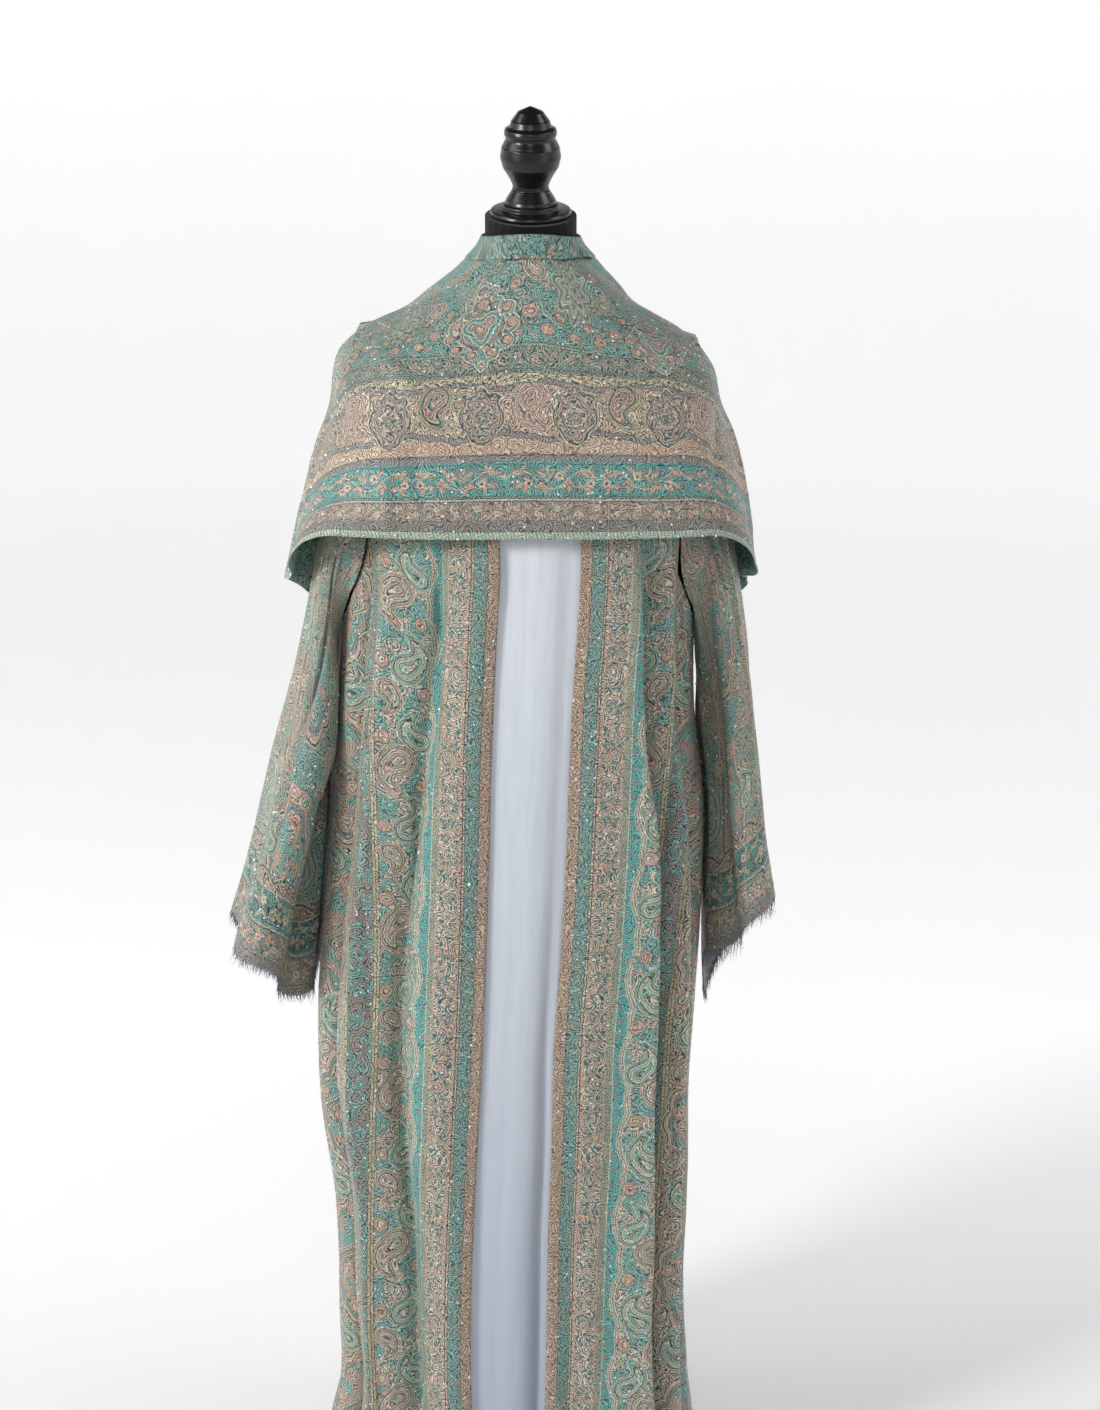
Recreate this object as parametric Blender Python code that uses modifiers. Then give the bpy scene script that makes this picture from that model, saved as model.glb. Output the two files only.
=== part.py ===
"""An open abaya with its draped shoulder wrap, hanging on a plain dress form with a turned finial.

Metres, +Z up, the open front faces -Y. The origin is the middle of the base plate's underside.
All cloth is a thin wall through sections that are worked out from the tables below.
Angles run round the garment in degrees: 0 is the middle of the front, 90 its +X side, 180 the back.
"""

import math

import bmesh
import bpy
import numpy as np
from mathutils import Matrix, Vector
from mathutils.bvhtree import BVHTree

# Walls and gaps
CLOTH = 0.0016  # wall of the patterned cloth
CREPE = 0.0012  # wall of the plain inner panel
SEAM_GAP = 0.0004  # between two pieces that are sewn together
ARMHOLE_GAP = 0.0008  # the same, where a sleeve's facets meet the body's
SQUARENESS = 0.03  # how much a body section leans from an ellipse towards a box

# The body of the abaya, one row for each section from the neckline to the hem.
# down is the distance along the cloth; z_ is the height of the section at the front, sides and back;
# left, right, front and back are its reach from the middle.
BODY_COLUMNS = "down z_front z_left z_right z_back left right front back edge_left edge_right".split()
BODY_ROWS = [
    (0.000, 1.500, 1.549, 1.549, 1.548, 0.072, 0.072, 0.063, 0.068, -0.060, 0.060),  # neckline
    (0.055, 1.462, 1.534, 1.524, 1.522, 0.125, 0.125, 0.092, 0.090, -0.060, 0.061),
    (0.090, 1.432, 1.516, 1.508, 1.496, 0.157, 0.152, 0.108, 0.102, -0.052, 0.060),
    (0.135, 1.395, 1.485, 1.474, 1.452, 0.198, 0.187, 0.124, 0.114, -0.045, 0.060),  # shoulder tips
    (0.210, 1.325, 1.430, 1.425, 1.385, 0.212, 0.200, 0.140, 0.124, -0.038, 0.059),
    (0.300, 1.240, 1.340, 1.335, 1.295, 0.218, 0.202, 0.151, 0.128, -0.035, 0.058),
    (0.390, 1.170, 1.245, 1.240, 1.200, 0.222, 0.200, 0.154, 0.129, -0.039, 0.055),
    (0.480, 1.090, 1.150, 1.145, 1.110, 0.228, 0.196, 0.155, 0.130, -0.043, 0.050),  # underarms
    (0.580, 1.000, 1.045, 1.040, 1.015, 0.236, 0.198, 0.156, 0.132, -0.047, 0.046),
    (0.710, 0.890, 0.915, 0.915, 0.895, 0.245, 0.211, 0.158, 0.135, -0.050, 0.042),
    (0.850, 0.755, 0.772, 0.772, 0.757, 0.258, 0.210, 0.162, 0.139, -0.055, 0.035),
    (0.970, 0.640, 0.650, 0.650, 0.640, 0.269, 0.205, 0.166, 0.142, -0.060, 0.027),
    (1.080, 0.532, 0.540, 0.540, 0.532, 0.269, 0.199, 0.168, 0.144, -0.066, 0.025),
    (1.220, 0.395, 0.400, 0.400, 0.395, 0.253, 0.199, 0.170, 0.145, -0.073, 0.020),
    (1.370, 0.247, 0.250, 0.250, 0.247, 0.250, 0.195, 0.172, 0.146, -0.077, 0.018),
    (1.500, 0.118, 0.120, 0.120, 0.118, 0.252, 0.203, 0.174, 0.148, -0.076, 0.015),
    (1.583, 0.036, 0.036, 0.036, 0.036, 0.272, 0.212, 0.177, 0.151, -0.074, 0.014),  # hem
]
SHOULDER_TIP = 0.135  # down, where the armhole starts
UNDERARM = 0.480  # down, where the armhole ends and the side seam starts
ARMHOLE_ANGLE = 31.0  # half the armhole's spread round the body, in degrees

# Hanging folds of the body. reach is how far the fold stands out, or in where it is negative;
# before and after are its widths in degrees on the two sides of its line.
FOLD_COLUMNS = "angle_top angle_mid angle_hem reach_top reach_mid reach_hem before after".split()
FOLD_STATIONS = (0.30, 0.85, 1.583)  # down, for top, mid and hem
BODY_FOLDS = [
    (-14.0, -20.0, -22.0, 0.004, 0.009, 0.011, 9.0, 8.0),  # left front
    (-25.0, -36.0, -35.0, -0.009, -0.017, -0.019, 8.0, 8.0),
    (-41.0, -51.0, -48.0, 0.006, 0.012, 0.016, 9.0, 9.0),
    (-57.0, -66.0, -64.0, -0.009, -0.015, -0.019, 9.0, 8.0),
    (-76.0, -79.0, -78.0, 0.000, 0.002, 0.003, 7.0, 7.0),
    (15.0, 12.0, 12.0, -0.001, -0.004, -0.011, 7.0, 8.0),  # right front
    (32.5, 39.0, 41.0, 0.010, 0.016, 0.017, 16.0, 4.5),
    (39.0, 46.0, 48.5, -0.008, -0.014, -0.016, 4.5, 7.0),
    (48.0, 57.0, 58.0, 0.006, 0.010, 0.013, 8.0, 7.0),
    (60.0, 69.0, 70.0, -0.009, -0.013, -0.016, 8.0, 9.0),
    (104.0, 106.0, 108.0, -0.004, -0.013, -0.016, 9.0, 9.0),  # back
    (118.0, 121.0, 124.0, 0.003, 0.012, 0.017, 8.0, 10.0),
    (136.0, 138.0, 139.0, -0.004, -0.014, -0.019, 10.0, 7.0),
    (152.0, 153.0, 157.0, 0.003, 0.011, 0.015, 8.0, 9.0),
    (170.0, 171.0, 172.0, -0.003, -0.014, -0.020, 10.0, 10.0),
    (188.0, 188.0, 187.0, 0.003, 0.013, 0.017, 8.0, 7.0),
    (205.0, 203.0, 204.0, -0.003, -0.012, -0.017, 8.0, 10.0),
    (224.0, 222.0, 222.0, 0.003, 0.012, 0.018, 10.0, 8.0),
    (242.0, 240.0, 240.0, -0.004, -0.015, -0.018, 8.0, 9.0),
    (258.0, 256.0, 255.0, 0.000, 0.003, 0.004, 7.0, 7.0),
]
BODY_FOLDS_START = (0.12, 0.45)  # down, where the folds begin and where they are full
EDGE_CURL = (0.003, 5.0)  # how far a front edge turns in, and over how many degrees
EDGE_CURL_START = (0.25, 0.50)  # down, where that begins and where it is full

# The sleeves, as tubes that hang from the armholes. along goes from armhole to cuff; outer is the
# line over the arm, at Y 0, and inner the line of the underarm seam, which lies further back.
# front and back are the tube's reach in Y from the middle between those lines.
SLEEVE_COLUMNS = "along outer_x outer_z inner_x inner_z inner_y front back".split()
LEFT_SLEEVE_ROWS = [
    (0.00, -0.200, 1.480, -0.228, 1.150, 0.000, 0.082, 0.072),
    (0.10, -0.216, 1.430, -0.232, 1.118, 0.010, 0.084, 0.074),
    (0.22, -0.236, 1.345, -0.236, 1.070, 0.030, 0.088, 0.070),
    (0.36, -0.261, 1.215, -0.232, 0.995, 0.048, 0.094, 0.066),
    (0.52, -0.289, 1.085, -0.234, 0.922, 0.055, 0.100, 0.066),
    (0.68, -0.322, 0.968, -0.242, 0.835, 0.056, 0.106, 0.070),
    (0.84, -0.350, 0.856, -0.254, 0.758, 0.056, 0.112, 0.074),
    (1.00, -0.377, 0.770, -0.262, 0.690, 0.056, 0.116, 0.076),
]
RIGHT_SLEEVE_ROWS = [
    (0.00, 0.187, 1.468, 0.200, 1.145, 0.000, 0.080, 0.070),
    (0.10, 0.200, 1.420, 0.200, 1.112, 0.010, 0.082, 0.073),
    (0.22, 0.220, 1.350, 0.204, 1.062, 0.030, 0.086, 0.070),
    (0.36, 0.243, 1.240, 0.204, 0.992, 0.048, 0.092, 0.066),
    (0.52, 0.260, 1.130, 0.208, 0.922, 0.055, 0.098, 0.066),
    (0.68, 0.268, 1.025, 0.212, 0.850, 0.056, 0.104, 0.070),
    (0.84, 0.278, 0.928, 0.216, 0.778, 0.056, 0.110, 0.074),
    (1.00, 0.295, 0.826, 0.219, 0.710, 0.056, 0.114, 0.076),
]
# Where the cuff hangs lower than its flat section: angle round the tube, drop, half width in degrees.
# Round a sleeve 0 is the outer line, 90 the front, 180 the inner line and 270 the back.
LEFT_CUFF_DROP = (128.0, 0.040, 52.0)
RIGHT_CUFF_DROP = (232.0, 0.118, 78.0)
CUFF_DROP_FROM, CUFF_DROP_TO = 0.50, 1.0  # along, where the drop builds up
SLEEVE_ROOT = 0.18  # along, where the armhole's own edge has passed into the hanging tube
# The sleeves' folds, in the columns of BODY_FOLDS, at these stations along
SLEEVE_STATIONS = (0.25, 0.60, 1.00)
LEFT_SLEEVE_FOLDS = [
    (138.0, 90.0, 76.0, 0.008, 0.020, 0.022, 46.0, 26.0),  # the long slanted ridge
    (168.0, 126.0, 114.0, -0.008, -0.026, -0.030, 26.0, 40.0),
    (38.0, 28.0, 24.0, -0.003, -0.007, -0.008, 26.0, 26.0),
    (250.0, 256.0, 262.0, -0.003, -0.010, -0.016, 34.0, 34.0),
    (310.0, 313.0, 316.0, 0.002, 0.008, 0.012, 30.0, 30.0),
]
RIGHT_SLEEVE_FOLDS = [
    (66.0, 52.0, 46.0, 0.003, 0.010, 0.011, 36.0, 30.0),
    (118.0, 108.0, 96.0, -0.009, -0.016, -0.011, 34.0, 30.0),
    (152.0, 148.0, 142.0, 0.004, 0.007, 0.008, 24.0, 26.0),
    (252.0, 250.0, 246.0, 0.002, 0.008, 0.012, 34.0, 30.0),
    (300.0, 298.0, 296.0, -0.003, -0.010, -0.014, 30.0, 34.0),
]
SLEEVE_FOLDS_START = (0.15, 0.35)  # along, where the folds begin and where they are full
SLEEVE_GAP_TOP, SLEEVE_GAP_BELOW = 0.0030, 0.0065  # between a hanging sleeve and the body
SLEEVE_GAP_WIDENS = (0.03, 0.30)  # along, from the one to the other
SLEEVE_INNER_SIDE = 100.0  # degrees to each side of the inner line that face the body
SLEEVE_REACH = 0.06  # how far inside the body a sleeve's point may start before it is moved off it
UNDERARM_SIDE = (75.0, 25.0)  # degrees from the underarm, where the sleeve's wall turns to the body

# The wrap over the shoulders. Its top is turned down over itself round the neck.
WRAP_SQUARENESS = 0.08
WRAP_SQUARES = (0.05, 0.25)  # down, from a round section to that squareness
WRAP_COLUMNS = "down z_front z_left z_right z_back left right front back".split()
WRAP_ROWS = [
    (0.000, 1.6155, 1.607, 1.606, 1.603, 0.0560, 0.0560, 0.0625, 0.0625),  # turn
    (0.012, 1.6060, 1.597, 1.597, 1.592, 0.0610, 0.0605, 0.0665, 0.0675),
    (0.034, 1.587, 1.578, 1.579, 1.573, 0.0780, 0.0765, 0.0770, 0.0810),
    (0.075, 1.553, 1.552, 1.550, 1.542, 0.1090, 0.1030, 0.0980, 0.0960),
    (0.120, 1.513, 1.5235, 1.5245, 1.502, 0.1480, 0.1290, 0.1180, 0.1080),
    (0.165, 1.472, 1.5005, 1.4945, 1.455, 0.1950, 0.1815, 0.1350, 0.1220),
    (0.205, 1.435, 1.4740, 1.4600, 1.412, 0.2240, 0.2110, 0.1460, 0.1340),
    (0.265, 1.380, 1.4080, 1.4050, 1.345, 0.2360, 0.2260, 0.1560, 0.1450),
    (0.325, 1.330, 1.3350, 1.3350, 1.255, 0.2580, 0.2440, 0.1630, 0.1560),
    (0.380, 1.284, 1.1900, 1.1950, 1.095, 0.2930, 0.2700, 0.1690, 0.1700),  # hem
]
# The turned part, measured up from the turn, and the round of the turn itself
TURN_DOWNS = (-0.030, -0.014, -0.0015, 0.0, 0.0015)
TURN_STAND_OFF = 0.0036  # how far the turned layer stands off the layer under it
TURN_HALF, TURN_RISE = 0.0015, 0.0013
WRAP_START, WRAP_END = -198.0, 176.0  # degrees; the two ends overlap down the back
WRAP_OVERLAP_STEP = 0.0050  # how far the outer end stands off the inner one
WRAP_OVERLAP_SIDE = (152.0, 176.0)  # degrees on the -X side, over which it steps out
WRAP_NECK_STEP = 0.0040  # and how much further where the top is turned down
WRAP_NECK_ENDS = (0.034, 0.090)  # down, where that extra step dies away
WRAP_BODY_GAP, WRAP_SLEEVE_GAP = 0.0007, 0.0022  # between the wrap and what it rests on
WRAP_RESTS_FROM = 0.05  # down
WRAP_REACH = 0.02
WRAP_GAPE = (52.0, 0.008, 26.0)  # where the turned layer gapes: angle, extra stand off, half width
WRAP_GAPE_BELOW = (0.006, 0.030)  # from the turn, where the gape begins and where it is full
# The hem keeps the front's height well round to the sides, and then falls away to the back
WRAP_HEM_DOWNS = (0.20, 0.38)
WRAP_HEM_SIDE, WRAP_HEM_BACK = (38.0, 98.0), (92.0, 150.0)  # degrees from the front
WRAP_FOLDS_START = (0.12, 0.20)  # down
WRAP_FOLDS = [
    # the same columns as BODY_FOLDS, for the stations below
    (-97.0, -100.0, -103.0, 0.000, 0.006, 0.014, 12.0, 14.0),
    (-76.0, -78.0, -80.0, 0.000, 0.001, -0.006, 10.0, 12.0),
    (78.0, 79.0, 80.0, 0.000, 0.001, 0.003, 10.0, 10.0),
    (97.0, 98.0, 98.0, 0.000, -0.003, -0.014, 10.0, 8.0),
    (112.0, 113.0, 114.0, 0.000, 0.003, 0.010, 8.0, 10.0),
    (24.0, 23.0, 22.0, 0.000, -0.001, -0.002, 8.0, 8.0),
    (-12.0, -14.0, -15.0, 0.000, 0.001, 0.002, 12.0, 12.0),
    (134.0, 134.0, 135.0, 0.000, -0.003, -0.011, 12.0, 12.0),
    (154.0, 154.0, 153.0, 0.000, 0.004, 0.009, 11.0, 10.0),
    (-126.0, -126.0, -126.0, 0.000, -0.004, -0.012, 12.0, 12.0),
    (-148.0, -148.0, -148.0, 0.000, 0.004, 0.010, 11.0, 11.0),
]
WRAP_STATIONS = (0.12, 0.25, 0.38)

# The plain inner panel behind the open front
PANEL_HEM = 1.572  # down; its top is the abaya's third row
PANEL_UNDERLAP = 0.034  # how far it reaches behind each front edge
PANEL_GAP_TOP, PANEL_GAP_BELOW = 0.0008, 0.0048  # how far it stands back from the fronts
PANEL_GAP_WIDENS = (0.10, 0.35)  # down, from the one to the other
PANEL_LEAST_DEPTH = 0.12  # the body's reach that the underlap's angle is worked out with, at least
PANEL_FOLDS_DEEPEN = (0.35, 1.50)  # down, from their reach at the chest to that at the hem
PANEL_FOLDS = [
    # share of the opening's width, reach at the chest, reach at the hem, half width as a share
    (0.62, -0.002, -0.008, 0.26),
    (0.30, 0.001, 0.003, 0.24),
]

# The frayed cuffs
FRINGE_STRIP = 0.004  # height of the strip that the strands grow from
FRINGE_GAP = 0.0006  # between the cuff's edge and the strip
FRINGE_PER_COLUMN = 3  # strands for each of the sleeve's columns
FRINGE_LONG, FRINGE_SHORT = 0.017, 0.009
FRINGE_LENGTH_WAVES = ((0.3, 2.3, 0.0), (0.2, 5.1, 1.0))  # share, radians a strand, first radians
FRINGE_LEAN = 0.0020  # how far a strand's tip leans along the cuff
FRINGE_LEAN_WAVE = 1.7  # radians a strand
FRINGE_TAPER = 0.3  # a tip's size over its root's

# The dress form
NECK_LEAN = math.radians(8.0)  # the neck's top leans forward
NECK_TOP = 1.632
NECK_RADIUS = 0.0535
# The sections above and below the shoulders. z_front, z_side, z_back, half width, front and back.
FORM_NECK_ROWS = [
    (1.560, 1.585, 1.592, 0.0535, 0.0520, 0.0550),
    (1.515, 1.549, 1.552, 0.0620, 0.0470, 0.0560),
]
# The shoulders lie this far under the abaya, at these distances down it
FORM_SHOULDER_DOWNS = (0.055, 0.095, 0.135)
FORM_SHOULDER_GAP = 0.0006
FORM_PANEL_GAP = 0.0060  # and this much further back behind the inner panel
FORM_PANEL_SIDE = (50.0, 80.0)  # degrees from the front, where that extra gap dies away
FORM_BOTTOM = 0.790
FORM_TORSO_ROWS = [
    (1.360, 1.4200, 1.400, 0.1800, 0.1120, 0.1040),
    (1.310, 1.3500, 1.330, 0.1640, 0.1220, 0.1050),
    (1.245, 1.2650, 1.250, 0.1440, 0.1300, 0.1020),
    (1.170, 1.1750, 1.170, 0.1300, 0.1180, 0.0920),
    (1.080, 1.0800, 1.080, 0.1180, 0.1020, 0.0840),
    (0.990, 0.9900, 0.990, 0.1360, 0.1080, 0.0980),
    (0.890, 0.8900, 0.890, 0.1560, 0.1160, 0.1120),
    (FORM_BOTTOM, FORM_BOTTOM, FORM_BOTTOM, 0.1560, 0.1140, 0.1120),
]
FORM_COLUMNS_ROUND = 28
POLE_RADIUS = 0.014
BASE_RADIUS, BASE_HEIGHT, BASE_BEVEL = 0.150, 0.018, 0.004
# The finial's turned outline, from the disc it stands on to its tip: radius and height
FINIAL_OUTLINE = [
    (0.0000, 0.0000), (0.0470, 0.0000), (0.0480, 0.0030), (0.0460, 0.0065), (0.0335, 0.0075),
    (0.0330, 0.0130), (0.0300, 0.0145), (0.0285, 0.0190), (0.0215, 0.0300), (0.0210, 0.0350),
    (0.0250, 0.0440), (0.0325, 0.0560), (0.0355, 0.0680), (0.0335, 0.0800), (0.0285, 0.0895),
    (0.0300, 0.0925), (0.0308, 0.0965), (0.0295, 0.1005), (0.0250, 0.1025), (0.0220, 0.1100),
    (0.0145, 0.1200), (0.0000, 0.1265),
]
FINIAL_STEPS = 20
FINIAL_GAP = 0.0006  # between the finial and the neck's sloping top
POLE_SIDES, BASE_SIDES = 16, 40

# How finely the cloth is divided
SMALL_ANGLE, SMALL_DOWN = 0.2, 0.001  # the steps that a surface's normal is found with
FRONT_COLUMNS = 20
BACK_COLUMNS = 34
ARMHOLE_STEPS = 10  # the sleeves have twice as many columns, so that the seam's points meet
BODY_DOWNS_ABOVE = (0.0, 0.055, 0.095)
BODY_DOWNS_BELOW = (0.60, 0.74, 0.88, 1.02, 1.14, 1.25, 1.40, 1.50, 1.583)
SLEEVE_ALONGS = (0.0, 0.05, 0.13, 0.23, 0.34, 0.46, 0.58, 0.70, 0.80, 0.90, 1.0)
WRAP_COLUMNS_ROUND = 48
PANEL_COLUMNS_ACROSS = 14

TEAL_CLOTH = ("patterned cloth", (0.16, 0.33, 0.31), 0.55, 0.0)
GREY_CREPE = ("plain crepe", (0.55, 0.60, 0.66), 0.75, 0.0)
GREY_FRINGE = ("frayed yarn", (0.16, 0.17, 0.21), 0.80, 0.0)
BLACK_COVER = ("black jersey", (0.012, 0.012, 0.013), 0.90, 0.0)
BLACK_WOOD = ("black lacquered wood", (0.015, 0.015, 0.016), 0.35, 0.0)
BLACK_STEEL = ("black steel", (0.02, 0.02, 0.02), 0.40, 1.0)


def eased(table, columns, name, at):
    """One column of a table at the given places along its first column, on a smooth curve.

    Each span is a cubic whose slopes are those of the straight lines between its neighbours.
    """
    rows = np.array(table, float)
    x, y = rows[:, 0], rows[:, columns.index(name)]
    slopes = np.gradient(y, x)
    at = np.clip(np.asarray(at, float), x[0], x[-1])
    i = np.clip(np.searchsorted(x, at, side="right") - 1, 0, len(x) - 2)
    span = x[i + 1] - x[i]
    t = (at - x[i]) / span
    return (
        (2 * t**3 - 3 * t**2 + 1) * y[i]
        + (t**3 - 2 * t**2 + t) * span * slopes[i]
        + (3 * t**2 - 2 * t**3) * y[i + 1]
        + (t**3 - t**2) * span * slopes[i + 1]
    )


def ramp(value, low, high):
    """0 below low, 1 above high and a smooth step between them."""
    t = np.clip((np.asarray(value, float) - low) / (high - low), 0, 1)
    return t * t * (3 - 2 * t)


def hump(offset, before, after):
    """1 on the line of a fold, falling to 0 at its two widths."""
    width = np.where(offset < 0, before, after)
    share = np.clip(np.abs(offset) / width, 0, 1)
    return 0.5 + 0.5 * np.cos(math.pi * share)


def turned(angle, centre):
    """The signed way from one angle to another, from -180 to 180 degrees."""
    return (angle - centre + 180.0) % 360.0 - 180.0


def three_point(station, stations, top, middle, bottom):
    """A value given at three stations, straight between them and flat outside."""
    return np.interp(station, stations, (top, middle, bottom))


def folds_at(angle, down, folds, stations, start):
    """How far all the folds together push the cloth out at this angle and distance down.

    start is where the folds begin and where they are full.
    """
    total = np.zeros(np.broadcast(angle, down).shape)
    for top, mid, hem, reach_top, reach_mid, reach_hem, before, after in folds:
        line = three_point(down, stations, top, mid, hem)
        reach = three_point(down, stations, reach_top, reach_mid, reach_hem)
        total = total + reach * hump(turned(angle, line), before, after)
    return total * ramp(down, *start)


def section(angle, reach, heights, squareness):
    """A closed section: x is the sine and y the cosine of the angle, each with a third harmonic.

    reach is (left, right, front, back) and heights (front, left, right, back). The height runs
    from that of the front or back to that of the side as the square of the sine.
    """
    turn = np.radians(angle)
    left, right, front, back = reach
    z_front, z_left, z_right, z_back = heights
    across = (np.sin(turn) + squareness * np.sin(3 * turn)) / (1 - squareness)
    ahead = (np.cos(turn) - squareness * np.cos(3 * turn)) / (1 - squareness)
    x = np.where(across > 0, right, left) * across
    y = -np.where(ahead > 0, front, back) * ahead
    side = np.where(np.sin(turn) > 0, z_right, z_left)
    end = np.where(np.cos(turn) > 0, z_front, z_back)
    z = end + (side - end) * np.sin(turn) ** 2
    outward = np.stack([across / reach_of(across, right, left), -ahead / reach_of(ahead, front, back)], -1)
    outward = outward / np.linalg.norm(outward, axis=-1, keepdims=True)
    return x, y, z, outward


def reach_of(value, positive, negative):
    return np.where(value > 0, positive, negative)


def body_columns_at(down):
    return {name: eased(BODY_ROWS, BODY_COLUMNS, name, down) for name in BODY_COLUMNS[1:]}


def body_point(angle, down, lift=0.0):
    """A point of the abaya's inner face, moved out by its folds and by lift."""
    angle, down = np.broadcast_arrays(np.asarray(angle, float), np.asarray(down, float))
    at = body_columns_at(down)
    x, y, z, outward = section(
        angle,
        (at["left"], at["right"], at["front"], at["back"]),
        (at["z_front"], at["z_left"], at["z_right"], at["z_back"]),
        SQUARENESS,
    )
    push = folds_at(angle, down, BODY_FOLDS, FOLD_STATIONS, BODY_FOLDS_START) + lift
    return np.stack([x + outward[..., 0] * push, y + outward[..., 1] * push, z], -1)


def off_surface(surface, first, second, distance, facing=1):
    """The surface's point moved along its own outward normal, found from small steps on it."""
    above = np.maximum(np.asarray(second) - SMALL_DOWN, 0)
    along = surface(first + SMALL_ANGLE, second) - surface(first - SMALL_ANGLE, second)
    lower = surface(first, above + 2 * SMALL_DOWN) - surface(first, above)
    normal = np.cross(lower, along)
    normal = normal / np.linalg.norm(normal, axis=-1, keepdims=True)
    return surface(first, second) + normal * distance * facing


def skin(grids):
    """A search tree of the outer faces of grids that face outward, for keeping other cloth off them."""
    corners, faces = [], []
    for grid in grids:
        rows, columns = grid.shape[:2]
        first = len(corners)
        corners += grid.reshape(-1, 3).tolist()
        for i in range(rows - 1):
            for j in range(columns - 1):
                a, b = first + i * columns + j, first + (i + 1) * columns + j
                faces.append((a, b, b + 1, a + 1))
    return BVHTree.FromPolygons(corners, faces)


def kept_off(points, tree, gap, reach):
    """The points, each moved out along the nearest face's normal until it stands off by the gap.

    Points further from the faces than reach stay where they are.
    """
    moved = np.array(points, float)
    for place in np.ndindex(moved.shape[:-1]):
        for _ in range(3):
            near, normal, _, _ = tree.find_nearest(Vector(moved[place]), reach)
            if near is None:
                break
            short = gap - (Vector(moved[place]) - near).dot(normal)
            if short <= 0:
                break
            moved[place] += np.array(normal) * short
    return moved


def edge_angle(down, side):
    """The angle of a front's free edge, found from its distance to the middle."""
    at = body_columns_at(down)
    x = at["edge_right"] if side > 0 else at["edge_left"]
    half = at["right"] if side > 0 else at["left"]
    angles = np.linspace(0, 90, 181)
    turn = np.radians(angles)
    across = (np.sin(turn) + SQUARENESS * np.sin(3 * turn)) / (1 - SQUARENESS)
    return side * np.interp(np.abs(x) / half, across, angles)


def armhole_spread(down):
    """How far the armhole opens to each side of the side line at this distance down, in degrees."""
    share = np.clip((down - SHOULDER_TIP) / (UNDERARM - SHOULDER_TIP), 0, 1)
    return ARMHOLE_ANGLE * np.sqrt(np.clip(1 - (1 - 2 * share) ** 2, 0, 1))


def seam_angle(down):
    """The part of a side or shoulder seam's gap that one panel gives up, in degrees."""
    reach = eased(BODY_ROWS, BODY_COLUMNS, "right", down)
    depth = eased(BODY_ROWS, BODY_COLUMNS, "front", down)
    return np.degrees(0.5 * SEAM_GAP / np.minimum(reach, depth)) + armhole_spread(down)


def body_downs():
    """The distances down of the body's rows. They crowd at the two ends of the armhole."""
    half_turns = np.linspace(0, math.pi, ARMHOLE_STEPS + 1)
    armhole = SHOULDER_TIP + (UNDERARM - SHOULDER_TIP) * (1 - np.cos(half_turns)) / 2
    return np.concatenate([BODY_DOWNS_ABOVE, armhole, BODY_DOWNS_BELOW])


def front_angles(side):
    """The angles of one front's grid, a row for each distance down, from its free edge to the side."""
    downs = body_downs()[:, None]
    across = np.linspace(0, 1, FRONT_COLUMNS + 1)[None, :]
    start = edge_angle(downs, side)
    return start + (side * (90.0 - seam_angle(downs)) - start) * across


def back_angles():
    downs = body_downs()[:, None]
    across = np.linspace(0, 1, BACK_COLUMNS + 1)[None, :]
    start, end = 90.0 + seam_angle(downs), 270.0 - seam_angle(downs)
    return start + (end - start) * across


def front_points(side):
    """A front's inner face. Its free edge curls in a little."""
    angle, downs = front_angles(side), body_downs()[:, None]
    curl, width = EDGE_CURL
    turn_in = curl * (1 - ramp(np.abs(angle - angle[:, :1]), 0, width))
    turn_in = turn_in * ramp(downs, *EDGE_CURL_START)
    return body_point(angle, downs, -turn_in)


def back_points():
    return body_point(back_angles(), body_downs()[:, None])


def body_skin():
    """The outer faces of the fronts and the back, with their own facets."""
    downs = body_downs()[:, None]
    left, right, back = front_angles(-1)[:, ::-1], front_angles(1), back_angles()
    return skin([off_surface(body_point, angles, downs, CLOTH) for angles in (left, right, back)])


def armhole_curve(around, side):
    """The armhole's edge on the body's outer face, a little way off it.

    around is 0 at the shoulder tip, 90 at the front, 180 at the underarm and 270 at the back.
    At the underarm the sleeve's wall faces the body, so the edge stands off by that wall too.
    """
    turn = np.radians(around)
    down = SHOULDER_TIP + (UNDERARM - SHOULDER_TIP) * (1 - np.cos(turn)) / 2
    angle = side * (90.0 - ARMHOLE_ANGLE * np.sin(turn))
    under = ramp(np.abs(turned(around, 180.0)), *UNDERARM_SIDE)[..., None]
    return off_surface(body_point, angle, down, CLOTH * (1 + under) + ARMHOLE_GAP)


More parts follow.
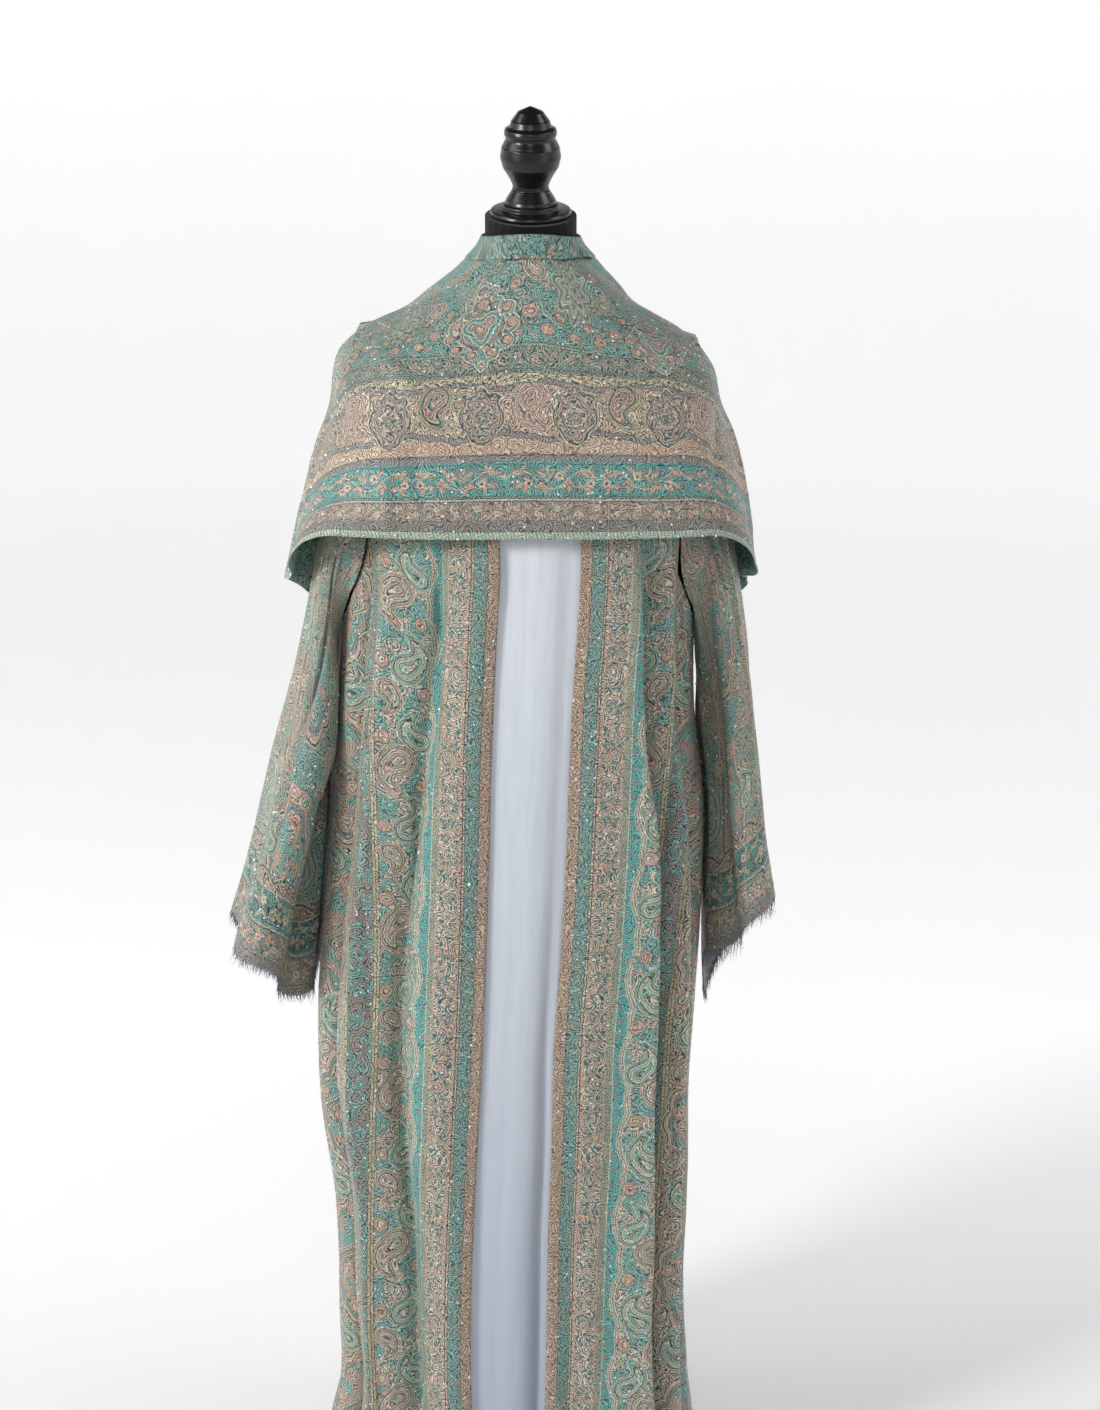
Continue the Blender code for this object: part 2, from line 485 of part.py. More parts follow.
def sleeve_point(around, along, side):
    """A point of a sleeve's inner face: an ellipse between the outer and inner lines.

    Near the armhole it runs over into the armhole's own edge.
    """
    rows, drop, folds = (
        (RIGHT_SLEEVE_ROWS, RIGHT_CUFF_DROP, RIGHT_SLEEVE_FOLDS)
        if side > 0
        else (LEFT_SLEEVE_ROWS, LEFT_CUFF_DROP, LEFT_SLEEVE_FOLDS)
    )
    around, along = np.broadcast_arrays(np.asarray(around, float), np.asarray(along, float))
    at = {name: eased(rows, SLEEVE_COLUMNS, name, along) for name in SLEEVE_COLUMNS[1:]}
    cosine, sine = np.cos(np.radians(around)), np.sin(np.radians(around))
    outer = np.stack([at["outer_x"], np.zeros(along.shape), at["outer_z"]], -1)
    inner = np.stack([at["inner_x"], at["inner_y"], at["inner_z"]], -1)
    depth = np.where(sine > 0, at["front"], at["back"])
    tube = (outer + inner) / 2 + (outer - inner) / 2 * cosine[..., None]
    tube[..., 1] -= depth * sine
    # folds push level and outward, as on a flat ellipse of the same reach
    half = np.abs(at["outer_x"] - at["inner_x"]) / 2
    level = np.stack([side * cosine * depth, -sine * half], -1)
    level = level / np.maximum(np.linalg.norm(level, axis=-1, keepdims=True), 1e-9)
    push = folds_at(around, along, folds, SLEEVE_STATIONS, SLEEVE_FOLDS_START)
    tube[..., :2] += level * push[..., None]
    centre, fall, width = drop
    hang = fall * hump(turned(around, centre), width, width)
    tube[..., 2] -= hang * ramp(along, CUFF_DROP_FROM, CUFF_DROP_TO)
    blend = ramp(along, 0.0, SLEEVE_ROOT)[..., None]
    return armhole_curve(around, side) * (1 - blend) + tube * blend


def sleeve_around():
    return np.arange(2 * ARMHOLE_STEPS) * 180.0 / ARMHOLE_STEPS


def sleeve_points(side, body):
    """The grid of a sleeve. Its inner side is kept off the body, from the row after the armhole seam."""
    around = sleeve_around()
    grid = sleeve_point(around[None, :], np.array(SLEEVE_ALONGS)[:, None], side)
    facing_body = np.abs(turned(around, 180.0)) < SLEEVE_INNER_SIDE
    for i, along in enumerate(SLEEVE_ALONGS[1:], 1):
        widened = ramp(along, *SLEEVE_GAP_WIDENS)
        gap = SLEEVE_GAP_TOP + (SLEEVE_GAP_BELOW - SLEEVE_GAP_TOP) * widened
        grid[i, facing_body] = kept_off(grid[i, facing_body], body, CLOTH + gap, SLEEVE_REACH)
    return grid


def ring_normals(ring, before, facing):
    """The ways down and out at each point of a tube's last ring."""
    down = ring - before
    down = down / np.linalg.norm(down, axis=-1, keepdims=True)
    out = np.cross(down, np.roll(ring, -1, 0) - np.roll(ring, 1, 0)) * facing
    return down, out / np.linalg.norm(out, axis=-1, keepdims=True)


def sleeve_skin(grid, side):
    """The outer faces of a sleeve's upper half, for the wrap to rest on."""
    upper = grid[: len(grid) // 2 + 1]
    out = [ring_normals(upper[i + 1], upper[i], -side)[1] for i in range(len(upper) - 1)]
    outer = upper + np.array([out[0], *out]) * CLOTH
    closed = np.concatenate([outer, outer[:, :1]], 1)
    return skin([closed if side < 0 else closed[:, ::-1]])


def wrap_layer(angle, down):
    """A point of the wrap's under layer, in the middle of its cloth."""
    angle, down = np.broadcast_arrays(np.asarray(angle, float), np.asarray(down, float))
    at = {name: eased(WRAP_ROWS, WRAP_COLUMNS, name, down) for name in WRAP_COLUMNS[1:]}
    x, y, z, outward = section(
        angle,
        (at["left"], at["right"], at["front"], at["back"]),
        (at["z_front"], at["z_left"], at["z_right"], at["z_back"]),
        WRAP_SQUARENESS * ramp(down, *WRAP_SQUARES),
    )
    reach_round = np.abs(turned(angle, 0.0))
    side_height = np.where(np.sin(np.radians(angle)) > 0, at["z_right"], at["z_left"])
    late = at["z_front"] + (side_height - at["z_front"]) * ramp(reach_round, *WRAP_HEM_SIDE)
    late = late + (at["z_back"] - side_height) * ramp(reach_round, *WRAP_HEM_BACK)
    z = z + (late - z) * ramp(down, *WRAP_HEM_DOWNS)
    step = WRAP_OVERLAP_STEP + WRAP_NECK_STEP * (1 - ramp(down, *WRAP_NECK_ENDS))
    push = step * ramp(-angle, *WRAP_OVERLAP_SIDE)
    push = push + folds_at(angle, down, WRAP_FOLDS, WRAP_STATIONS, WRAP_FOLDS_START)
    return np.stack([x + outward[..., 0] * push, y + outward[..., 1] * push, z], -1)


def wrap_point(angle, down):
    """A point of the whole wrap. Above the turn, down is negative and runs back over the under layer."""
    angle, down = np.broadcast_arrays(np.asarray(angle, float), np.asarray(down, float))
    gape_at, gape, gape_width = WRAP_GAPE
    stand = TURN_STAND_OFF * (1 - ramp(down, -TURN_HALF, TURN_HALF))
    gaping = hump(turned(angle, gape_at), gape_width, gape_width) * ramp(-down, *WRAP_GAPE_BELOW)
    stand = stand + gape * gaping
    place = off_surface(wrap_layer, angle, np.abs(down), stand[..., None])
    place[..., 2] += TURN_RISE * hump(down, TURN_HALF, TURN_HALF)
    return place


def wrap_points(skins):
    """The grid of the wrap. The layer that touches the garment is kept off it."""
    downs = np.concatenate([TURN_DOWNS, [row[0] for row in WRAP_ROWS[1:]]])[:, None]
    angles = np.linspace(WRAP_START, WRAP_END, WRAP_COLUMNS_ROUND + 1)[None, :]
    grid = wrap_point(angles, downs)
    resting = downs[:, 0] > WRAP_RESTS_FROM
    for i, tree in enumerate(skins):
        gap = WRAP_SLEEVE_GAP if i else WRAP_BODY_GAP
        grid[resting] = kept_off(grid[resting], tree, CLOTH / 2 + gap, WRAP_REACH)
    return grid


def panel_points():
    """The inner panel follows the fronts' inner faces, and stands back from them a little."""
    downs = np.concatenate([body_downs()[2:-1], [PANEL_HEM]])[:, None]
    left, right = edge_angle(downs, -1), edge_angle(downs, 1)
    depth = eased(BODY_ROWS, BODY_COLUMNS, "front", downs)
    under = np.degrees(PANEL_UNDERLAP / np.maximum(depth, PANEL_LEAST_DEPTH))
    share = np.linspace(0, 1, PANEL_COLUMNS_ACROSS + 1)[None, :]
    angle = (left - under) + (right - left + 2 * under) * share
    opening = np.clip((angle - left) / (right - left), 0, 1)
    wave = np.zeros(angle.shape)
    for centre, chest, hem, half in PANEL_FOLDS:
        reach = chest + (hem - chest) * ramp(downs, *PANEL_FOLDS_DEEPEN)
        wave = wave + reach * hump(opening - centre, half, half)
    behind = PANEL_GAP_TOP + (PANEL_GAP_BELOW - PANEL_GAP_TOP) * ramp(downs, *PANEL_GAP_WIDENS)
    return body_point(angle, downs, wave - CREPE - behind)


def form_section(around, row):
    z_front, z_side, z_back, half, front, back = row
    x, y, z, _ = section(
        around, (half, half, front, back), (z_front, z_side, z_side, z_back), SQUARENESS
    )
    return np.stack([x, y, z], -1)


def form_points():
    """The dress form's sections from its leaning neck top down to its flat bottom."""
    around = np.arange(FORM_COLUMNS_ROUND) * 360.0 / FORM_COLUMNS_ROUND
    turn = np.radians(around)
    lean = math.tan(NECK_LEAN) * NECK_RADIUS * np.cos(turn)
    rings = [
        np.stack([NECK_RADIUS * np.sin(turn), -NECK_RADIUS * np.cos(turn), NECK_TOP - lean], -1)
    ]
    rings += [form_section(around, row) for row in FORM_NECK_ROWS]
    behind_panel = FORM_PANEL_GAP * (1 - ramp(np.abs(turned(around, 0)), *FORM_PANEL_SIDE))
    for down in FORM_SHOULDER_DOWNS:
        under = off_surface(body_point, around, np.full(around.shape, down), -FORM_SHOULDER_GAP)
        under[:, 1] += behind_panel
        rings.append(under)
    rings += [form_section(around, row) for row in FORM_TORSO_ROWS]
    return np.array(rings)


def material(recipe):
    name, colour, roughness, metallic = recipe
    made = bpy.data.materials.get(name) or bpy.data.materials.new(name)
    made.use_nodes = True
    shader = made.node_tree.nodes["Principled BSDF"]
    shader.inputs["Base Color"].default_value = (*colour, 1.0)
    shader.inputs["Roughness"].default_value = roughness
    shader.inputs["Metallic"].default_value = metallic
    return made


def add_object(name, mesh, collection, recipe):
    made = bpy.data.objects.new(name, mesh)
    made.data.materials.append(material(recipe))
    collection.objects.link(made)
    return made


def loft(name, grid, around=False, caps=False):
    """A mesh through rows of points. around joins each row into a ring; caps closes both ends."""
    rows, columns = grid.shape[:2]
    shape = bmesh.new()
    points = [[shape.verts.new(point) for point in row] for row in grid]
    spans = columns if around else columns - 1
    for i in range(rows - 1):
        for j in range(spans):
            k = (j + 1) % columns
            shape.faces.new((points[i][j], points[i + 1][j], points[i + 1][k], points[i][k]))
    if caps:
        shape.faces.new(points[0][::-1] if around else points[0])
        shape.faces.new(points[-1])
        bmesh.ops.recalc_face_normals(shape, faces=shape.faces)
    mesh = bpy.data.meshes.new(name)
    shape.to_mesh(mesh)
    shape.free()
    return mesh


def cloth(name, grid, collection, recipe, wall, offset, around=False, facing=1):
    """A wall of cloth through a grid. facing turns its outer face away from the body."""
    if facing < 0:
        grid = grid[:, ::-1]
    piece = add_object(name, loft(name, grid, around), collection, recipe)
    piece.data.shade_smooth()
    solid = piece.modifiers.new("wall", "SOLIDIFY")
    solid.thickness = wall
    solid.offset = offset
    solid.thickness_clamp = 0.0
    return piece


def between(ring, parts):
    """A ring's points with others put in evenly between them."""
    steps = np.arange(parts)[None, :, None] / parts
    following = np.roll(ring, -1, 0)
    return (ring[:, None] * (1 - steps) + following[:, None] * steps).reshape(-1, 3)


def fringe(name, grid, side, collection):
    """Frayed yarn: a narrow strip round the cuff, with a tapered strand grown from each of its cells.

    The strip runs along the cuff's own edge, so that the gap to it is even. The strands' lengths
    and leans follow sums of sines, so that they are uneven but always the same.
    """
    down, out = ring_normals(grid[-1], grid[-2], -side)
    edge, down, out = (between(ring, FRINGE_PER_COLUMN) for ring in (grid[-1], down, out))
    count = len(edge)
    top = edge + down * FRINGE_GAP
    bottom = top + down * FRINGE_STRIP
    shape = bmesh.new()
    rings = [
        [shape.verts.new(point) for point in ring]
        for ring in (top, top + out * CLOTH, bottom + out * CLOTH, bottom)
    ]
    bottoms = []
    for i in range(count):
        j = (i + 1) % count
        for a in range(4):
            b = (a + 1) % 4
            face = shape.faces.new((rings[a][i], rings[a][j], rings[b][j], rings[b][i]))
            if a == 2:
                bottoms.append(face)
    bmesh.ops.recalc_face_normals(shape, faces=shape.faces)
    grown = bmesh.ops.extrude_discrete_faces(shape, faces=bottoms)["faces"]
    for i, tip in enumerate(grown):
        uneven = 0.5 + sum(size * math.sin(rate * i + at) for size, rate, at in FRINGE_LENGTH_WAVES)
        length = FRINGE_SHORT + (FRINGE_LONG - FRINGE_SHORT) * uneven
        sideways = edge[(i + 1) % count] - edge[i]
        lean = FRINGE_LEAN * math.sin(FRINGE_LEAN_WAVE * i + side) * sideways / np.linalg.norm(sideways)
        centre = np.array(tip.calc_center_median())
        for vert in tip.verts:
            inward = (np.array(vert.co) - centre) * FRINGE_TAPER
            vert.co = centre + inward + down[i] * length + lean
    mesh = bpy.data.meshes.new(name)
    shape.to_mesh(mesh)
    shape.free()
    return add_object(name, mesh, collection, GREY_FRINGE)


def finial(collection):
    """The turned finial: its outline goes round once with a Screw modifier, from the tip down."""
    mesh = bpy.data.meshes.new("finial")
    outline = FINIAL_OUTLINE[::-1]
    mesh.from_pydata(
        [(radius, 0.0, height) for radius, height in outline],
        [(i, i + 1) for i in range(len(outline) - 1)],
        [],
    )
    turned_piece = add_object("finial", mesh, collection, BLACK_WOOD)
    screw = turned_piece.modifiers.new("turn", "SCREW")
    screw.steps = screw.render_steps = FINIAL_STEPS
    screw.use_merge_vertices = True
    screw.merge_threshold = 0.00005
    screw.use_smooth_shade = True
    lift = FINIAL_GAP / math.cos(NECK_LEAN)
    turned_piece.matrix_world = (
        Matrix.Translation((0, 0, NECK_TOP + lift)) @ Matrix.Rotation(NECK_LEAN, 4, "X")
    )
    return turned_piece


def cylinder(name, radius, bottom, top, collection, recipe, sides, bevel=0.0):
    shape = bmesh.new()
    bmesh.ops.create_cone(
        shape, cap_ends=True, segments=sides, radius1=radius, radius2=radius, depth=top - bottom
    )
    bmesh.ops.translate(shape, verts=shape.verts, vec=(0, 0, (top + bottom) / 2))
    if bevel:
        rim = [edge for edge in shape.edges if all(vert.co.z > (top + bottom) / 2 for vert in edge.verts)]
        bmesh.ops.bevel(shape, geom=rim, offset=bevel, segments=2, profile=0.5, affect="EDGES")
    mesh = bpy.data.meshes.new(name)
    shape.to_mesh(mesh)
    shape.free()
    mesh.shade_smooth()
    mesh.set_sharp_from_angle(angle=math.radians(35))
    return add_object(name, mesh, collection, recipe)


def build_abaya(collection):
    cloth("front_left", front_points(-1), collection, TEAL_CLOTH, CLOTH, 1.0, facing=-1)
    cloth("front_right", front_points(1), collection, TEAL_CLOTH, CLOTH, 1.0)
    cloth("back", back_points(), collection, TEAL_CLOTH, CLOTH, 1.0)
    cloth("inner_panel", panel_points(), collection, GREY_CREPE, CREPE, 1.0)
    body = body_skin()
    skins = [body]
    for name, side in (("left", -1), ("right", 1)):
        grid = sleeve_points(side, body)
        cloth(f"sleeve_{name}", grid, collection, TEAL_CLOTH, CLOTH, 1.0, True, -side)
        fringe(f"cuff_fringe_{name}", grid, side, collection)
        skins.append(sleeve_skin(grid, side))
    cloth("shoulder_wrap", wrap_points(skins), collection, TEAL_CLOTH, CLOTH, 0.0)


def build_form(collection):
    torso = add_object("form_torso", loft("form_torso", form_points(), True, True), collection, BLACK_COVER)
    torso.data.shade_smooth()
    finial(collection)
    pole_ends = (BASE_HEIGHT + SEAM_GAP, FORM_BOTTOM - SEAM_GAP)
    cylinder("pole", POLE_RADIUS, *pole_ends, collection, BLACK_STEEL, POLE_SIDES)
    cylinder("base", BASE_RADIUS, 0.0, BASE_HEIGHT, collection, BLACK_STEEL, BASE_SIDES, BASE_BEVEL)


def main():
    for old in list(bpy.data.objects):
        bpy.data.objects.remove(old)
    collection = bpy.data.collections.new("abaya on a dress form")
    bpy.context.scene.collection.children.link(collection)
    build_abaya(collection)
    build_form(collection)


main()
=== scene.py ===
import math

import bpy
import numpy as np
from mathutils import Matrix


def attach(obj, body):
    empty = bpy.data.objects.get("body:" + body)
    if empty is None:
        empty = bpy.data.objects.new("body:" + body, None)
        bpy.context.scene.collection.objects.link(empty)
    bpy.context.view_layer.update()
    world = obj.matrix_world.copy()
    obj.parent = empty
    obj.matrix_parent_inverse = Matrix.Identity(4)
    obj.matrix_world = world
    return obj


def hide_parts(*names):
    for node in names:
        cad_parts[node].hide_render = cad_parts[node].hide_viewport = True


# %% [markdown]
# This lesson dresses a long open abaya that hangs on a plain dress form. The cloth is a woven
# jacquard: every colour in it is yarn, so the pattern follows the cloth into each fold.
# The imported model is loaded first. Its hard pieces stay, and each piece of cloth is made again
# from the same surfaces with far smaller steps, so that soft creases can be laid into it.

# %% Load the frame and note its box
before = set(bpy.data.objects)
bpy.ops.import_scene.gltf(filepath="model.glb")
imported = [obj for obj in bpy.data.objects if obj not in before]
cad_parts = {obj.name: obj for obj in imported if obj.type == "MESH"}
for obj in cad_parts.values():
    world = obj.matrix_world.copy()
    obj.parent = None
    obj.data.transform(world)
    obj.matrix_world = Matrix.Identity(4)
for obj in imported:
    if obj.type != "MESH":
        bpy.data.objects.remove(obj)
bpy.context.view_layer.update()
print("solids in the frame:", len(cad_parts))

# %% [markdown]
# Cloth that hangs from shoulders is close to a stack of rounded sections. A short table gives
# their reach and height, a smooth curve runs between the rows, and each hanging fold is a soft
# hump along a line. The same few helpers serve the body, the sleeves and the wrap.

# %% Helpers for tables, steps and folds
def eased(table, columns, name, at):
    """One column of a table at the given places along its first column, on a smooth curve.

    Each span is a cubic whose slopes are those of the straight lines between its neighbours.
    """
    rows = np.array(table, float)
    x, y = rows[:, 0], rows[:, columns.index(name)]
    slopes = np.gradient(y, x)
    at = np.clip(np.asarray(at, float), x[0], x[-1])
    i = np.clip(np.searchsorted(x, at, side="right") - 1, 0, len(x) - 2)
    span = x[i + 1] - x[i]
    t = (at - x[i]) / span
    return (
        (2 * t**3 - 3 * t**2 + 1) * y[i]
        + (t**3 - 2 * t**2 + t) * span * slopes[i]
        + (3 * t**2 - 2 * t**3) * y[i + 1]
        + (t**3 - t**2) * span * slopes[i + 1]
    )


def columns_at(table, columns, at):
    """Every column of a table but the first, at the given places along that one."""
    return {name: eased(table, columns, name, at) for name in columns[1:]}


def unit(vectors):
    """The vectors, each made one long."""
    return vectors / np.maximum(np.linalg.norm(vectors, axis=-1, keepdims=True), 1e-12)


def ramp(value, low, high):
    """0 below low, 1 above high and a smooth step between them."""
    t = np.clip((np.asarray(value, float) - low) / (high - low), 0, 1)
    return t * t * (3 - 2 * t)


def hump(offset, before, after):
    """1 on the line of a fold, falling to 0 at its two widths."""
    width = np.where(offset < 0, before, after)
    share = np.clip(np.abs(offset) / width, 0, 1)
    return 0.5 + 0.5 * np.cos(math.pi * share)


def turned(angle, centre):
    """The signed way from one angle to another, from -180 to 180 degrees."""
    return (angle - centre + 180) % 360 - 180


def three_point(station, stations, top, middle, bottom):
    """A value given at three stations, straight between them and flat outside."""
    return np.interp(station, stations, (top, middle, bottom))


def folds_at(angle, down, folds, stations, start):
    """How far all the folds together push the cloth out at this angle and distance down.

    A row is a fold's angle at its top, middle and end, its reach there in millimetres, and its width
    before and after its line in degrees. start is where the folds begin and where they are full.
    """
    total = np.zeros(np.broadcast(angle, down).shape)
    for top, mid, hem, reach_top, reach_mid, reach_hem, before, after in folds:
        line = three_point(down, stations, top, mid, hem)
        reach = three_point(down, stations, reach_top, reach_mid, reach_hem) / 1000
        total = total + reach * hump(turned(angle, line), before, after)
    return total * ramp(down, *start)


def section(angle, at, squareness):
    """A closed section: x is the sine and y the cosine of the angle, each with a third harmonic.

    at gives the reach to the left, right, front and back and the height of each. The height runs
    from that of the front or back to that of the side as the square of the sine.
    """
    turn = np.radians(angle)
    across = (np.sin(turn) + squareness * np.sin(3 * turn)) / (1 - squareness)
    ahead = (np.cos(turn) - squareness * np.cos(3 * turn)) / (1 - squareness)
    wide = np.where(across > 0, at["right"], at["left"])
    deep = np.where(ahead > 0, at["front"], at["back"])
    side = np.where(np.sin(turn) > 0, at["z_right"], at["z_left"])
    end = np.where(np.cos(turn) > 0, at["z_front"], at["z_back"])
    z = end + (side - end) * np.sin(turn) ** 2
    return wide * across, -deep * ahead, z, unit(np.stack([across / wide, -ahead / deep], -1))


SMALL_ANGLE, SMALL_DOWN = 0.2, 0.001  # the steps that a surface's normal is found with


def off_surface(surface, first, second, distance):
    """The surface's point moved along its own outward normal, found from small steps on it."""
    above = np.maximum(np.asarray(second) - SMALL_DOWN, 0)
    along = surface(first + SMALL_ANGLE, second) - surface(first - SMALL_ANGLE, second)
    lower = surface(first, above + 2 * SMALL_DOWN) - surface(first, above)
    return surface(first, second) + unit(np.cross(lower, along)) * distance


# %% [markdown]
# The body of the abaya: rows from the neckline to the hem, with the folds that gravity makes
# below the shoulders. The sleeves start at an armhole that opens to both sides of the side line.

# %% The body's sections and folds
SEAM_GAP = 0.0004  # between two pieces that are sewn together
ARMHOLE_GAP = 0.0008
SQUARENESS = 0.03
CLOTH = 0.0016  # the wall of the solids that this cloth stands for
BODY_COLUMNS = "down z_front z_left z_right z_back left right front back edge_left edge_right".split()
BODY_ROWS = np.array([  # in millimetres
    (0, 1500, 1549, 1549, 1548, 72, 72, 63, 68, -60, 60),  # neckline
    (55, 1462, 1534, 1524, 1522, 125, 125, 92, 90, -60, 61),
    (90, 1432, 1516, 1508, 1496, 157, 152, 108, 102, -52, 60),
    (135, 1395, 1485, 1474, 1452, 198, 187, 124, 114, -45, 60),  # shoulder tips
    (210, 1325, 1430, 1425, 1385, 212, 200, 140, 124, -38, 59),
    (300, 1240, 1340, 1335, 1295, 218, 202, 151, 128, -35, 58),
    (390, 1170, 1245, 1240, 1200, 222, 200, 154, 129, -39, 55),
    (480, 1090, 1150, 1145, 1110, 228, 196, 155, 130, -43, 50),  # underarms
    (580, 1000, 1045, 1040, 1015, 236, 198, 156, 132, -47, 46),
    (710, 890, 915, 915, 895, 245, 211, 158, 135, -50, 42),
    (850, 755, 772, 772, 757, 258, 210, 162, 139, -55, 35),
    (970, 640, 650, 650, 640, 269, 205, 166, 142, -60, 27),
    (1080, 532, 540, 540, 532, 269, 199, 168, 144, -66, 25),
    (1220, 395, 400, 400, 395, 253, 199, 170, 145, -73, 20),
    (1370, 247, 250, 250, 247, 250, 195, 172, 146, -77, 18),
    (1500, 118, 120, 120, 118, 252, 203, 174, 148, -76, 15),
    (1583, 36, 36, 36, 36, 272, 212, 177, 151, -74, 14),  # hem
]) / 1000
SHOULDER_TIP = 0.135  # down, where the armhole starts
UNDERARM = 0.48  # down, where the armhole ends and the side seam starts
ARMHOLE_ANGLE = 31  # half the armhole's spread round the body, in degrees
FOLD_STATIONS = (0.3, 0.85, 1.583)  # down, for top, mid and hem
BODY_FOLDS = [
    (-14, -20, -22, 4, 9, 11, 9, 8),  # left front
    (-25, -36, -35, -9, -17, -19, 8, 8),
    (-41, -51, -48, 6, 12, 16, 9, 9),
    (-57, -66, -64, -9, -15, -19, 9, 8),
    (-76, -79, -78, 0, 2, 3, 7, 7),
    (15, 12, 12, -1, -4, -11, 7, 8),  # right front
    (32.5, 39, 41, 10, 16, 17, 16, 4.5),
    (39, 46, 48.5, -8, -14, -16, 4.5, 7),
    (48, 57, 58, 6, 10, 13, 8, 7),
    (60, 69, 70, -9, -13, -16, 8, 9),
    (104, 106, 108, -4, -13, -16, 9, 9),  # back
    (118, 121, 124, 3, 12, 17, 8, 10),
    (136, 138, 139, -4, -14, -19, 10, 7),
    (152, 153, 157, 3, 11, 15, 8, 9),
    (170, 171, 172, -3, -14, -20, 10, 10),
    (188, 188, 187, 3, 13, 17, 8, 7),
    (205, 203, 204, -3, -12, -17, 8, 10),
    (224, 222, 222, 3, 12, 18, 10, 8),
    (242, 240, 240, -4, -15, -18, 8, 9),
    (258, 256, 255, 0, 3, 4, 7, 7),
]
BODY_FOLDS_START = (0.12, 0.45)  # down, where the folds begin and where they are full
EDGE_CURL = (0.003, 5)  # how far a front edge turns in, and over how many degrees
EDGE_CURL_START = (0.25, 0.5)  # down, where that begins and where it is full


def body_point(angle, down, lift=0):
    """A point of the abaya's inner face, moved out by its folds and by lift."""
    angle, down = np.broadcast_arrays(np.asarray(angle, float), np.asarray(down, float))
    at = columns_at(BODY_ROWS, BODY_COLUMNS, down)
    x, y, z, outward = section(angle, at, SQUARENESS)
    push = folds_at(angle, down, BODY_FOLDS, FOLD_STATIONS, BODY_FOLDS_START) + lift
    return np.stack([x + outward[..., 0] * push, y + outward[..., 1] * push, z], -1)


def edge_angle(down, side):
    """The angle of a front's free edge, found from its distance to the middle."""
    at = columns_at(BODY_ROWS, BODY_COLUMNS, down)
    x = at["edge_right"] if side > 0 else at["edge_left"]
    half = at["right"] if side > 0 else at["left"]
    angles = np.linspace(0, 90, 181)
    turn = np.radians(angles)
    across = (np.sin(turn) + SQUARENESS * np.sin(3 * turn)) / (1 - SQUARENESS)
    return side * np.interp(np.abs(x) / half, across, angles)


def armhole_spread(down):
    """How far the armhole opens to each side of the side line at this distance down, in degrees."""
    share = np.clip((down - SHOULDER_TIP) / (UNDERARM - SHOULDER_TIP), 0, 1)
    return ARMHOLE_ANGLE * np.sqrt(np.clip(1 - (1 - 2 * share) ** 2, 0, 1))


def seam_angle(down):
    """The part of a side or shoulder seam's gap that one panel gives up, in degrees."""
    reach = eased(BODY_ROWS, BODY_COLUMNS, "right", down)
    depth = eased(BODY_ROWS, BODY_COLUMNS, "front", down)
    return np.degrees(0.5 * SEAM_GAP / np.minimum(reach, depth)) + armhole_spread(down)


# %% [markdown]
# A sleeve is a tube between two lines: the outer line over the arm and the inner line of the
# underarm seam. Its first ring is the armhole's own edge, so that cloth meets cloth there.

# %% The sleeves' tubes and folds
SLEEVE_COLUMNS = "along outer_x outer_z inner_x inner_z inner_y front back".split()
LEFT_SLEEVE_ROWS = np.array([  # in thousandths, and in millimetres
    (0, -200, 1480, -228, 1150, 0, 82, 72),
    (100, -216, 1430, -232, 1118, 10, 84, 74),
    (220, -236, 1345, -236, 1070, 30, 88, 70),
    (360, -261, 1215, -232, 995, 48, 94, 66),
    (520, -289, 1085, -234, 922, 55, 100, 66),
    (680, -322, 968, -242, 835, 56, 106, 70),
    (840, -350, 856, -254, 758, 56, 112, 74),
    (1000, -377, 770, -262, 690, 56, 116, 76),
]) / 1000
RIGHT_SLEEVE_ROWS = np.array([
    (0, 187, 1468, 200, 1145, 0, 80, 70),
    (100, 200, 1420, 200, 1112, 10, 82, 73),
    (220, 220, 1350, 204, 1062, 30, 86, 70),
    (360, 243, 1240, 204, 992, 48, 92, 66),
    (520, 260, 1130, 208, 922, 55, 98, 66),
    (680, 268, 1025, 212, 850, 56, 104, 70),
    (840, 278, 928, 216, 778, 56, 110, 74),
    (1000, 295, 826, 219, 710, 56, 114, 76),
]) / 1000
LEFT_CUFF_DROP = (128, 0.04, 52)  # round the cuff, how far it falls there, and its half width
RIGHT_CUFF_DROP = (232, 0.118, 78)
CUFF_DROP_FROM, CUFF_DROP_TO = 0.5, 1  # along, where the drop builds up
SLEEVE_ROOT = 0.18  # along, where the armhole's own edge has passed into the hanging tube
SLEEVE_STATIONS = (0.25, 0.6, 1)  # along, for a fold's top, middle and end
LEFT_SLEEVE_FOLDS = [
    (138, 90, 76, 8, 20, 22, 46, 26),  # the long slanted ridge
    (168, 126, 114, -8, -26, -30, 26, 40),
    (38, 28, 24, -3, -7, -8, 26, 26),
    (250, 256, 262, -3, -10, -16, 34, 34),
    (310, 313, 316, 2, 8, 12, 30, 30),
]
RIGHT_SLEEVE_FOLDS = [
    (66, 52, 46, 3, 10, 11, 36, 30),
    (118, 108, 96, -9, -16, -11, 34, 30),
    (152, 148, 142, 4, 7, 8, 24, 26),
    (252, 250, 246, 2, 8, 12, 34, 30),
    (300, 298, 296, -3, -10, -14, 30, 34),
]
SLEEVE_FOLDS_START = (0.15, 0.35)  # along, where the folds begin and where they are full
SLEEVE_GAP_TOP, SLEEVE_GAP_BELOW = 0.003, 0.0065  # between a hanging sleeve and the body
SLEEVE_GAP_WIDENS = (0.03, 0.3)  # along, from the one to the other
SLEEVE_INNER_SIDE = 100  # degrees to each side of the inner line that face the body
SLEEVE_REACH = 0.06  # how far inside the body a sleeve's point may start before it is moved off it
